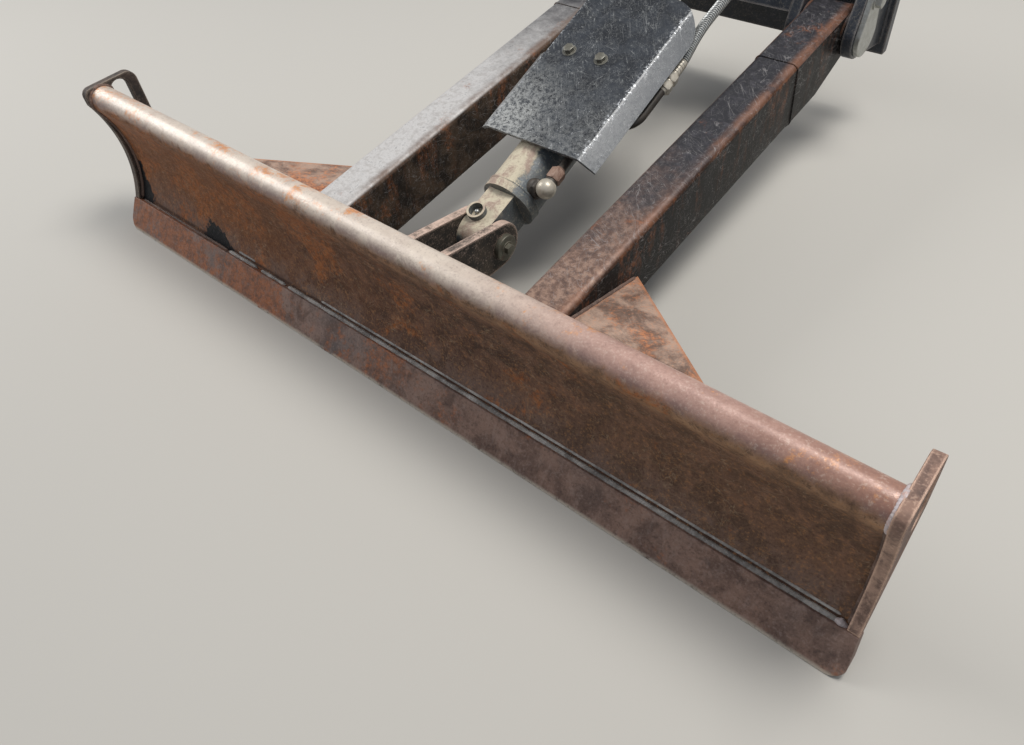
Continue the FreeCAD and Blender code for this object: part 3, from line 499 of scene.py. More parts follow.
class Finish:
    """A surface finish. Its material is made once, when a piece first asks for it."""

    name: str
    slot: Slot

    def material(self) -> bpy.types.Material:
        """The finish's material."""
        found = bpy.data.materials.get(self.name)
        if found is None:
            found = bpy.data.materials.new(self.name)
            found.use_nodes = True
            found.node_tree.nodes.clear()
            self.write(Skin(found.node_tree))
        return found

    def write(self, g: Skin) -> None:
        """Writes the material's nodes; each finish has its own."""
        raise NotImplementedError


@dataclass(frozen=True)
class SheetProfile:
    """The curved sheet's section: its face's circle, its roll and the seam that it stands on."""

    edge_top: tuple[float, float] = (28.0, 43.0)
    ledge: float = 8.5
    thickness: float = 8.0
    face_radius: float = 164.0
    roll_centre: tuple[float, float] = (55.0, 208.0)
    roll_radius: float = 20.0
    half_width: float = 606.0
    right_inset: float = 6.0
    right_lean: float = 3.2

    @property
    def seam(self) -> tuple[float, float]:
        """Where the sheet's face meets the cutting edge's top."""
        length = math.hypot(*self.edge_top)
        across = (self.edge_top[1] / length, -self.edge_top[0] / length)
        return self.edge_top[0] + across[0] * self.ledge, self.edge_top[1] + across[1] * self.ledge

    @property
    def centre(self) -> tuple[float, float]:
        """The centre of the face's circle, which touches the roll and passes the seam."""
        near, far = self.seam, self.roll_centre
        reach, other = self.face_radius, self.face_radius + self.roll_radius
        span = math.hypot(far[0] - near[0], far[1] - near[1])
        along = (reach ** 2 - other ** 2 + span ** 2) / (2.0 * span)
        aside = math.sqrt(reach ** 2 - along ** 2)
        dy, dz = (far[0] - near[0]) / span, (far[1] - near[1]) / span
        return near[0] + dy * along - dz * aside, near[1] + dz * along + dy * aside

    def face_at(self, up: float, behind: float = 0.0) -> float:
        """How far back the face is at a height, or a surface some way behind it."""
        radius = self.face_radius + behind
        return self.centre[0] + math.sqrt(radius ** 2 - (up - self.centre[1]) ** 2)

    def up_the_back(self, x: float, ups: Iterable[float]) -> list[Vector]:
        """Places on the sheet's back at some heights."""
        return [spot(x, self.face_at(up, self.thickness), up) for up in ups]

    def end_x(self, side: int, up: float) -> float:
        """The x of an end plate's inner face at a height; the right one is knocked inwards and leans."""
        lean = math.tan(math.radians(self.right_lean)) * (up - self.edge_top[1]) + self.right_inset
        return side * (self.half_width - (lean if side > 0 else 0.0))


SHEET = SheetProfile()


@dataclass(frozen=True)
class RustedSheet(Finish):
    """The curved sheet: rust on its face, a bare roll, and black paint left low on the left."""

    name: str = "rusted_sheet"
    slot: Slot = Slot.BLADE_STEEL
    dark: Colour = srgb(74, 54, 44)
    brown: Colour = srgb(116, 85, 69)
    amber: Colour = srgb(128, 80, 48)
    orange: Colour = srgb(176, 102, 50)
    tan: Colour = srgb(172, 134, 102)
    plum: Colour = srgb(112, 94, 86)
    scratch: Colour = srgb(158, 134, 108)
    speck: Colour = srgb(164, 118, 80)
    # The roll's bare steel to the left, made paler partly as painted sunlight.
    bare_left: Colour = srgb(224, 209, 192)
    bare_right: Colour = srgb(188, 150, 136)
    bare_end: Colour = srgb(160, 118, 100)
    bare_speck: Colour = srgb(226, 206, 190)
    smear: Colour = srgb(124, 96, 90)
    spot_dark: Colour = srgb(196, 120, 62)
    spot_light: Colour = srgb(226, 158, 98)
    paint: Colour = srgb(16, 18, 21)
    patches: tuple[tuple[float, float, float], ...] = (
        (-606.0, 44.0, 36.0), (-609.0, 84.0, 22.0), (-404.0, 47.0, 21.0), (-380.0, 41.0, 17.0),
        (-362.0, 38.0, 10.0))
    roll_starts: tuple[float, float] = (207.0, 222.0)
    smear_ends: tuple[float, float] = (214.0, 225.0)
    spots_start: tuple[float, float] = (205.0, 224.0)
    stain_ends: tuple[float, float] = (46.0, 92.0)
    under_roll: float = 203.0
    seam_line: float = 5.0
    relief: float = 0.0006

    def write(self, g: Skin) -> None:
        """Writes the sheet's nodes."""
        x, _, up = g.axes(g.place)
        middle = g.noise(30.0, 8.0, 0.72, 0.5)
        self.face(g, x, up, middle)
        face = g.colour
        self.roll(g, x, up, middle)
        worn = (up + (middle - 0.5) * 0.03).step(*map(height_of, self.roll_starts))
        g.base(worn, face, g.colour)
        painted = self.painted(g)
        g.over(painted, self.paint)
        rough = g.noise(140.0, 5.0, 0.7).step(0.3, 0.7, 0.58, 0.8) - worn * 0.3 - painted * 0.2
        pits = g.effect(Effect.PITTING, Scale=240.0)["Height"]
        height = pits * (1.0 - worn * 0.55) + g.noise(6.0, 2.0) * 3.0
        g.close(rough, worn * 0.12, height, self.relief, Specular_IOR_Level=worn.step(0.0, 1.0, 0.25, 0.6),
                Coat_Weight=worn * x.step(0.2, 0.5, 0.5, 0.14), Coat_Roughness=0.34)

    def face(self, g: Skin, x: Value, up: Value, middle: Value) -> None:
        """Lays the colour of the face below the roll.

        Args:
            g: the material's graph.
            x: the x of the place.
            up: its z.
            middle: a noise of a few centimetres.
        """
        g.base(middle.step(0.38, 0.62), self.dark, self.brown)
        g.over(x.step(0.1, 0.4, 0.0, 0.13), self.tan)
        broad = g.noise(6.0, 5.0, 0.6, 0.6)
        g.over(x.step(-0.55, 0.2, 1.0, 0.0) * broad.step(0.34, 0.6, 0.3, 0.9), self.amber)
        seam = up.step(*map(height_of, self.stain_ends), 1.0, 0.0)
        g.over(seam * middle.step(0.4, 0.6, 0.25, 0.85), self.plum)
        under_roll = up.near(height_of(self.under_roll), 0.03) * x.step(-0.3, 0.45, 0.15, 1.0)
        g.over(under_roll * middle.step(0.4, 0.6, 0.35, 0.95), self.tan)
        g.rust(0.75, 12.0, x.step(-0.6, 0.5, 0.62, 0.36), self.amber, self.orange)
        g.streaked(self.dark, 60.0, 0.42)
        g.scratched(self.tan, 1.7, x.step(-0.6, 0.1, 0.6, 0.15))
        g.scratched(self.scratch, 0.7, 0.6)
        g.over(up.near(height_of(SHEET.seam[1] + self.seam_line), 0.004), self.dark)
        g.specked(self.speck, self.dark, 0.6)

    def roll(self, g: Skin, x: Value, up: Value, middle: Value) -> None:
        """Lays the colour of the rubbed roll: pale to the left, partly as painted sunlight, and
        orange-spotted there; pinkish to the right.
        """
        # The paler tone to the left is partly painted sunlight on the roll's top.
        g.base(x.step(0.1, 0.34), self.bare_left, self.bare_right)
        g.over((x + middle * 0.2).step(0.5, 0.68), self.bare_end)
        front = up.step(*map(height_of, self.smear_ends), 0.9, 0.18)
        g.over(middle.step(0.42, 0.58, 0.1, 1.0) * front, self.smear)
        amount = x.step(-0.6, 0.4, 0.6, 0.42) * up.step(*map(height_of, self.spots_start), 0.45, 1.0)
        grainy = g.noise(95.0, 7.0, 0.8).step(0.42, 0.53, 0.15, 1.0)
        g.rust(grainy, 19.0, amount, self.spot_dark, self.spot_light)
        g.specked(self.bare_speck, self.smear, 0.3, 380.0)

    def painted(self, g: Skin) -> Value:
        """Where black paint is left, in a few spots with ragged edges."""
        ragged = (g.noise(55.0, 7.0, 0.75) - 0.5) * 0.05
        mask = None
        for x, up, radius in self.patches:
            middle = spot(x, SHEET.face_at(up), up)
            away = g.out("VectorMath", {0: g.place, 1: middle}, "Value", operation="DISTANCE")
            one = (away + ragged).step(radius * MM * 0.92, radius * MM * 1.05, 1.0, 0.0)
            mask = mask.most(one) if mask else one
        return mask


@dataclass(frozen=True)
class ScouredEdge(Finish):
    """The cutting edge: rubbed by the ground, with orange patches to the left and a bright lower edge."""

    name: str = "scoured_edge"
    slot: Slot = Slot.EDGE_STEEL
    base: Colour = srgb(97, 72, 61)
    second: Colour = srgb(138, 108, 93)
    pale: Colour = srgb(152, 130, 120)
    dark: Colour = srgb(52, 41, 38)
    grey: Colour = srgb(92, 88, 88)
    orange: Colour = srgb(170, 102, 60)
    amber: Colour = srgb(122, 80, 58)
    bright: Colour = srgb(206, 196, 180)
    top_line: float = 46.0
    relief: float = 0.0005

    def write(self, g: Skin) -> None:
        """Writes the edge's nodes."""
        x, _, up = g.axes(g.place)
        middle = g.noise(24.0, 8.0, 0.72, 0.5)
        g.base(middle.step(0.38, 0.62), self.base, self.second)
        broad = g.noise(5.0, 5.0, 0.62, 0.6)
        g.over(x.step(-0.1, 0.3, 1.0, 0.2) * broad.step(0.42, 0.58, 0.0, 0.7), self.grey)
        g.over(x.step(-0.5, 0.3, 1.0, 0.1) * middle.step(0.4, 0.62, 0.1, 0.7), self.pale)
        g.rust(0.88, 9.0, x.step(-0.3, 0.35, 0.7, 0.42), self.amber, self.orange)
        g.streaked(self.pale, 110.0, 0.5)
        g.over(up.near(height_of(self.top_line), 0.0045), self.dark)
        rubbed = up.near(height_of(0.0), 0.0055) * middle.step(0.3, 0.46)
        g.over(rubbed, self.bright)
        g.specked(self.pale, self.dark, 0.45)
        height = g.effect(Effect.PITTING, Scale=230.0)["Height"]
        g.close(middle.step(0.3, 0.7, 0.5, 0.66), rubbed * 0.5, height, self.relief)


@dataclass(frozen=True)
class RustedSteel(Finish):
    """Plain steel that has rusted over, with paler rubbed corners."""

    name: str
    slot: Slot
    base: Colour
    second: Colour
    rust_dark: Colour
    rust_light: Colour
    worn: Colour
    rust: float = 0.35
    wear: float = 0.55
    wear_radius: float = 0.005
    rough: float = 0.7
    relief: float = 0.0006
    rim: float = 0.0
    rim_starts: tuple[float, float] = (185.0, 215.0)

    def write(self, g: Skin) -> None:
        """Writes the steel's nodes."""
        middle = g.noise(26.0, 8.0, 0.72, 0.4)
        g.base(middle.step(0.38, 0.62), self.base, self.second)
        g.rust(0.8, 15.0, self.rust, self.rust_dark, self.rust_light)
        g.specked(self.worn, self.base, 0.32)
        narrow = g.facing()[0].size().step(0.3, 0.8, self.rim, 0.0)
        narrow = narrow * g.axes(g.place)[2].step(*map(height_of, self.rim_starts), 1.0, 0.3)
        wear = g.worn(self.wear_radius, self.wear, 70.0).most(narrow * middle.step(0.38, 0.58, 0.1, 1.0))
        g.over(wear, self.worn)
        rough = middle.step(0.3, 0.7, self.rough - 0.08, self.rough + 0.1) - wear * 0.2
        height = g.effect(Effect.PITTING, Scale=230.0)["Height"]
        g.close(rough, wear * 0.3, height, self.relief)


@dataclass(frozen=True)
class WornPaint(Finish):
    """Old paint: rubbed through at corners and on top, scratched, dusty, with rust coming through."""

    name: str
    slot: Slot
    paint: Colour
    tint: Colour
    under: Colour
    rust_dark: Colour = srgb(92, 52, 34)
    rust_light: Colour = srgb(158, 96, 62)
    dust: Colour = srgb(150, 142, 130)
    rust: float = 0.25
    wear: float = 0.55
    wear_radius: float = 0.006
    dusty: float = 0.3
    scratched: float = 0.5
    rough: float = 0.38
    relief: float = 0.0004

    def write(self, g: Skin) -> None:
        """Writes the paint's nodes."""
        middle = g.noise(24.0, 8.0, 0.7, 0.3)
        g.base(middle.step(0.35, 0.65), self.paint, self.tint)
        crust = g.rust(0.75, 18.0, self.rust, self.rust_dark, self.rust_light)["Height"]
        bare = g.worn(self.wear_radius, self.wear, 80.0)
        g.over(bare, self.under)
        g.scratched(self.dust, 1.0, self.scratched)
        dust = g.effect(Effect.DUST, Amount=self.dusty, Scale=28.0)["Mask"]
        g.over(dust * 0.6, self.dust)
        g.specked(self.dust, self.paint, 0.22)
        rough = middle.step(0.3, 0.7, self.rough - 0.06, self.rough + 0.1) + dust.most(bare) * 0.3
        height = g.noise(420.0, 3.0, 0.6) * 0.25 + crust * 0.3 - bare * 0.5 + g.noise(7.0, 2.0) * 3.0
        g.close(rough, bare * 0.3, height, self.relief)


@dataclass(frozen=True)
class ArmPaint(Finish):
    """An arm's black paint: its top rubbed bare from the blade rearwards, its near corner rusty, its sides
    darker as painted shade.
    """

    name: str
    centre_x: float
    bare: Colour
    bare_second: Colour
    bare_from: float
    bare_to: float
    corner: Colour
    slot: Slot = Slot.ARM_PAINT
    paint: Colour = srgb(38, 37, 41)
    tint: Colour = srgb(66, 64, 70)
    # Darker paint for the sides: painted shade.
    side_paint: Colour = srgb(15, 15, 16)
    shaded_side_tint: Colour = srgb(33, 31, 29)
    stripe: float = 0.75
    runs: float = 0.45
    rust_dark: Colour = srgb(96, 58, 38)
    rust_light: Colour = srgb(164, 100, 60)
    scratch: Colour = srgb(168, 164, 162)
    stripe_inset: float = 5.0
    relief: float = 0.0004

    def write(self, g: Skin) -> None:
        """Writes the arm's nodes."""
        x, back, up = g.axes(g.place)
        level = g.facing()[2]
        middle = g.noise(26.0, 8.0, 0.72, 0.4)
        fine = g.noise(110.0, 6.0, 0.75)
        # The sides start from the darker side paint, which is painted shade.
        g.base(middle.step(0.4, 0.62), self.side_paint, self.shaded_side_tint)
        depth = back * ARMS.slope + height_of(ARMS.top(MOUNT_BACK)) - up
        runs = g.effect(Effect.STREAKS, Scale=75.0, Amount=0.5)["Mask"]
        g.over(runs * depth.step(0.01, 0.075, self.runs, 0.1) * fine.step(0.38, 0.6), self.rust_light)
        side = g.colour
        along = back + (middle - 0.5) * 0.42
        rubbed = along.step((self.bare_from - MOUNT_BACK) * MM, (self.bare_to - MOUNT_BACK) * MM, 1.0, 0.0)
        bare = g.mix(fine.step(0.42, 0.62), self.bare, self.bare_second)
        g.base(fine.step(0.46, 0.66, 0.0, 0.7), self.paint, self.tint)
        g.over(rubbed * fine.step(0.3, 0.45, 0.55, 1.0), bare)
        # Faces turned up take the top's colour; the rest keep the sides' darker painted shade.
        top = level.step(0.5, 0.85)
        g.base(top, side, g.colour)
        g.over(self.rubbed_corners(g, x, level, middle), self.corner)
        g.rust(0.5, 13.0, 0.36, self.rust_dark, self.rust_light)
        lines = g.effect(Effect.SCRATCHES, Scale=0.8, Amount=0.5)["Mask"]
        g.over(lines * 0.8, self.scratch)
        g.specked(self.scratch, self.paint, 0.12)
        rough = middle.step(0.3, 0.7, 0.36, 0.5) + rubbed * 0.12
        g.close(rough, rubbed * top * 0.2, fine * 0.6 + g.noise(7.0, 2.0) * 2.5, self.relief,
                Specular_IOR_Level=top.step(0.0, 1.0, 0.12, 0.5))

    def rubbed_corners(self, g: Skin, x: Value, level: Value, middle: Value) -> Value:
        """Where the long corners are rubbed to rust: broadly on the arm's right side, thinly on its left."""
        wide = x.near((self.centre_x + ARMS.width / 2.0 - self.stripe_inset) * MM, 0.0135)
        thin = x.near((self.centre_x - ARMS.width / 2.0) * MM, 0.006)
        patchy = g.noise(9.0, 6.0, 0.7).step(0.36, 0.58, 0.15, self.stripe)
        return wide.most(thin) * level.step(0.1, 0.45) * (patchy * middle.step(0.34, 0.5, 0.45, 1.0))


@dataclass(frozen=True)
class GuardPaint(Finish):
    """The guard's glossy black paint: chipped along its folds, specked towards its front, pale at its
    front-left corner with dust and painted sunlight, its right flange lightened as a painted sky reflection.
    """

    name: str = "guard_paint_rubbed"
    slot: Slot = Slot.GUARD_PAINT
    paint: Colour = srgb(24, 26, 31)
    tint: Colour = srgb(42, 46, 53)
    flange_sky_reflection: Colour = srgb(67, 71, 76)
    dust: Colour = srgb(176, 177, 174)
    chip: Colour = srgb(214, 216, 218)
    stain: Colour = srgb(126, 104, 84)
    fold_x: tuple[float, float] = (-0.0755, 0.0795)
    chip_reach: float = 0.0065
    front: float = 130.0
    dust_reach: float = 0.15
    relief: float = 0.0004

    def write(self, g: Skin) -> None:
        """Writes the guard's nodes."""
        x, back, _ = g.axes(g.place)
        middle = g.noise(24.0, 7.0, 0.7, 0.4)
        fine = g.noise(260.0, 5.0, 0.72)
        g.base(middle.step(0.36, 0.64), self.paint, self.tint)
        # Faces turned right, the right flange, are lightened as a painted sky reflection.
        g.over(g.facing()[0].step(0.2, 0.5) * middle.step(0.3, 0.6, 0.75, 1.0), self.flange_sky_reflection)
        stains = g.effect(Effect.RUST, Scale=26.0, Amount=0.2, Dark=self.stain, Light=self.stain)
        g.over(stains["Mask"] * 0.5, self.stain)
        # The pale patch over the front-left corner is partly dust and partly painted sunlight.
        start = on_cylinder(0.0, self.front, CylinderGuard.top).y
        forward = back.step(start, start + self.dust_reach, 1.0, 0.0)
        sunlit_left = (x + (middle - 0.5) * 0.12).step(-0.06, 0.02, 1.0, 0.25)
        dust = g.noise(190.0, 8.0, 0.85).step(0.4, 0.58) * (forward * sunlit_left * 0.95 + 0.04)
        g.over(dust, self.dust)
        specks = fine.step(0.62, 0.68) * (forward * 0.75 + 0.12)
        g.over(specks, self.chip)
        g.scratched(self.dust, 1.1, 0.42)
        g.scratched(self.dust, 2.9, 0.5)
        folds = x.near(self.fold_x[0], self.chip_reach).most(x.near(self.fold_x[1], self.chip_reach))
        chips = folds * fine.step(0.52, 0.6) * g.noise(22.0, 3.0).step(0.36, 0.56, 0.25, 1.0)
        g.over(chips, self.chip)
        height = fine * 0.3 - chips.most(specks) * 0.5 + g.noise(9.0, 2.0) * 2.5
        g.close(middle.step(0.3, 0.7, 0.22, 0.34) + dust * 0.4, chips * 0.5, height, self.relief,
                Coat_Weight=0.25, Coat_Roughness=0.2)


@dataclass(frozen=True)
class DustyPaint(Finish):
    """The cylinder's grey paint under dried beige dust, thick on top, paler on faces turned left as painted
    sunlight, with rusty spots.
    """

    name: str = "cylinder_paint_dusty"
    slot: Slot = Slot.CYLINDER_PAINT
    paint: Colour = srgb(78, 88, 94)
    tint: Colour = srgb(104, 108, 108)
    dust: Colour = srgb(214, 202, 176)
    dust_pink: Colour = srgb(176, 152, 136)
    rust_dark: Colour = srgb(104, 70, 50)
    rust_light: Colour = srgb(160, 112, 80)
    relief: float = 0.0005

    def write(self, g: Skin) -> None:
        """Writes the paint's nodes."""
        shaded_rightward, _, level = g.facing()
        middle = g.noise(34.0, 8.0, 0.72, 0.4)
        fine = g.noise(150.0, 6.0, 0.75)
        g.base(middle.step(0.38, 0.62), self.paint, self.tint)
        # Faces turned left get more of the pale dust tone as painted sunlight; faces turned right stay darker
        # as painted shade.
        turned = (level - shaded_rightward * 0.9).step(-0.15, 0.95)
        share = (middle * 0.6 + fine * 0.4 + (turned - 0.5) * 0.42).step(0.44, 0.6)
        g.over(share * 0.88, g.mix(middle.step(0.46, 0.6), self.dust, self.dust_pink))
        g.rust(0.6, 30.0, 0.3, self.rust_dark, self.rust_light)
        g.over(g.worn(0.002, 0.5, 120.0) * 0.6, self.dust)
        g.specked(self.dust, self.rust_dark, 0.3)
        g.close(share.step(0.0, 1.0, 0.4, 0.82), 0.0, share * 0.4 + fine * 0.8, self.relief)


@dataclass(frozen=True)
class PlatedSteel(Finish):
    """Turned or plated steel under a film of dust and stains."""

    name: str
    slot: Slot
    base: Colour
    stain: Colour
    stained: float = 0.4
    rough: float = 0.36
    metal: float = 0.75
    worn: Colour = srgb(205, 203, 198)
    relief: float = 0.00012

    def write(self, g: Skin) -> None:
        """Writes the plate's nodes."""
        g.base(g.noise(130.0, 5.0).step(0.35, 0.65, 0.0, 0.3), self.base, self.stain)
        stains = g.effect(Effect.RUST, Scale=55.0, Amount=self.stained, Dark=self.stain, Light=self.base)
        film = stains["Mask"] * 0.85
        g.over(film, self.stain)
        g.over(g.worn(0.0015, 0.6, 200.0) * 0.5, self.worn)
        g.specked(self.worn, self.stain, 0.2, 500.0)
        metal = self.metal - film * (self.metal * 0.8)
        g.close(film * 0.3 + self.rough, metal, g.noise(600.0, 4.0, 0.7), self.relief)


@dataclass(frozen=True)
class Rubber(Finish):
    """Black hose rubber, dusty in its hollows."""

    name: str = "hose_cover"
    slot: Slot = Slot.HOSE_RUBBER
    base: Colour = srgb(24, 24, 25)
    dust: Colour = srgb(96, 90, 82)
    relief: float = 0.0001

    def write(self, g: Skin) -> None:
        """Writes the rubber's nodes."""
        dust = g.effect(Effect.DUST, Amount=0.35, Scale=60.0)["Mask"]
        g.base(dust * 0.5, self.base, self.dust)
        g.close(dust.step(0.0, 1.0, 0.55, 0.8), 0.0, g.noise(900.0, 3.0), self.relief)


@dataclass(frozen=True)
class Chrome(Finish):
    """The rod's hard chrome, with a thin film of oil and dust."""

    name: str = "rod_chrome"
    slot: Slot = Slot.ROD_CHROME
    base: Colour = srgb(214, 214, 216)
    dust: Colour = srgb(140, 132, 120)
    metal: float = 0.95
    relief: float = 0.00002

    def write(self, g: Skin) -> None:
        """Writes the chrome's nodes."""
        film = g.noise(70.0, 6.0, 0.7)
        g.base(film.step(0.45, 0.75, 0.0, 0.35), self.base, self.dust)
        g.close(film.step(0.3, 0.75, 0.1, 0.34), self.metal, g.noise(900.0, 2.0), self.relief)


SHEET_RUST = RustedSheet()
EDGE_RUST = ScouredEdge()
LEFT_PLATE_RUST = RustedSteel(
    "rusted_plate_left", Slot.BLADE_STEEL, base=srgb(42, 37, 34), second=srgb(70, 57, 50),
    rust_dark=srgb(104, 68, 50), rust_light=srgb(156, 104, 72), worn=srgb(150, 136, 122), rust=0.28,
    wear=0.62, rim=0.3)
# The right plate's pale front rim is partly wear and partly painted sunlight.
RIGHT_PLATE_RUST = RustedSteel(
    "rusted_plate_right", Slot.BLADE_STEEL, base=srgb(92, 69, 60), second=srgb(132, 102, 88),
    rust_dark=srgb(128, 82, 56), rust_light=srgb(176, 120, 84), worn=srgb(232, 196, 172), rust=0.4,
    wear=0.64, wear_radius=0.004, rim=0.36)
GUSSET_RUST = RustedSteel(
    "rusted_gusset", Slot.BLADE_STEEL, base=srgb(106, 84, 72), second=srgb(176, 148, 130),
    rust_dark=srgb(136, 80, 52), rust_light=srgb(206, 134, 88), worn=srgb(204, 134, 90), rust=0.5, wear=0.9,
    wear_radius=0.01)
EAR_RUST = RustedSteel(
    "rusted_ear", Slot.BLADE_STEEL, base=srgb(46, 43, 39), second=srgb(78, 68, 58),
    rust_dark=srgb(116, 74, 52), rust_light=srgb(170, 112, 78), worn=srgb(222, 194, 176), rust=0.36,
    wear=0.85, wear_radius=0.006, rim=1.0)
# The left arm's rubbed top is near-white partly as painted sunlight.
ARM_LEFT_PAINT = ArmPaint(
    "arm_paint_left", centre_x=-ARMS.centre_x, bare=srgb(208, 205, 202), bare_second=srgb(186, 182, 178),
    bare_from=360.0, bare_to=780.0, corner=srgb(112, 90, 76), side_paint=srgb(38, 33, 29),
    shaded_side_tint=srgb(76, 63, 52), stripe=0.9, runs=0.6)
ARM_RIGHT_PAINT = ArmPaint(
    "arm_paint_right", centre_x=ARMS.centre_x, bare=srgb(112, 86, 74), bare_second=srgb(160, 130, 112),
    bare_from=110.0, bare_to=450.0, corner=srgb(140, 96, 72))
BACK_PAINT = WornPaint(
    "channel_paint", Slot.ARM_PAINT, paint=srgb(36, 35, 36), tint=srgb(58, 52, 48), under=srgb(110, 90, 80),
    rust=0.42, wear=0.6, dusty=0.45, scratched=0.25, rough=0.5)
GUARD_PAINT = GuardPaint()
BARREL_PAINT = DustyPaint()
FRAME_PAINT = WornPaint(
    "frame_paint_worn", Slot.FRAME_PAINT, paint=srgb(34, 38, 45), tint=srgb(52, 57, 66),
    under=srgb(140, 134, 130), rust=0.2, wear=0.66, scratched=0.4, rough=0.36)
PIN_STEEL = PlatedSteel(
    "pin_steel_rusty", Slot.PIN_STEEL, base=srgb(108, 108, 96), stain=srgb(98, 78, 62), rough=0.45,
    metal=0.5, worn=srgb(176, 166, 150))
BOLT_STEEL = PlatedSteel(
    "bolt_steel", Slot.PIN_STEEL, base=srgb(116, 114, 104), stain=srgb(92, 80, 68), rough=0.42, metal=0.4,
    worn=srgb(190, 188, 178))
ZINC = PlatedSteel("zinc_plate", Slot.PIN_ZINC, base=srgb(178, 180, 176), stain=srgb(124, 118, 104))
LINE_ZINC = PlatedSteel(
    "line_zinc_dusty", Slot.LINE_ZINC, base=srgb(206, 198, 182), stain=srgb(160, 146, 122), metal=0.35)
LINE_NUT = PlatedSteel(
    "line_nut_rusty", Slot.LINE_ZINC, base=srgb(156, 128, 112), stain=srgb(110, 78, 62), stained=0.5,
    rough=0.6, metal=0.2, worn=srgb(196, 176, 160))
LINE_DARK = PlatedSteel(
    "line_steel_dark", Slot.LINE_ZINC, base=srgb(62, 58, 54), stain=srgb(92, 80, 66), stained=0.35,
    rough=0.5, metal=0.3, worn=srgb(130, 124, 116))
SPRING_STEEL = PlatedSteel(
    "spring_zinc", Slot.HOSE_RUBBER, base=srgb(224, 226, 224), stain=srgb(150, 146, 136), stained=0.25,
    rough=0.32, metal=0.6)
WELD_STEEL = RustedSteel(
    "weld_grey", Slot.EDGE_STEEL, base=srgb(120, 115, 110), second=srgb(178, 173, 166),
    rust_dark=srgb(84, 68, 62), rust_light=srgb(122, 98, 84), worn=srgb(190, 190, 192), rust=0.22, wear=0.5,
    wear_radius=0.001, rough=0.46, relief=0.0003)
WELD_RUST = RustedSteel(
    "weld_rusty", Slot.BLADE_STEEL, base=srgb(78, 62, 54), second=srgb(116, 92, 80),
    rust_dark=srgb(108, 72, 52), rust_light=srgb(172, 116, 80), worn=srgb(180, 156, 142), rust=0.36,
    wear=0.5, wear_radius=0.001, relief=0.0003)
WELD_PALE = RustedSteel(
    "weld_pale", Slot.BLADE_STEEL, base=srgb(164, 150, 146), second=srgb(206, 198, 200),
    rust_dark=srgb(150, 100, 76), rust_light=srgb(208, 134, 96), worn=srgb(228, 220, 216), rust=0.5,
    wear=0.6, wear_radius=0.001, rough=0.5, relief=0.0003)
WELD_PAINT = WornPaint(
    "weld_painted", Slot.FRAME_PAINT, paint=srgb(38, 39, 44), tint=srgb(56, 57, 62), under=srgb(110, 98, 92),
    rust=0.26, wear=0.4, wear_radius=0.001, scratched=0.1, rough=0.45)
RUBBER = Rubber()
CHROME = Chrome()


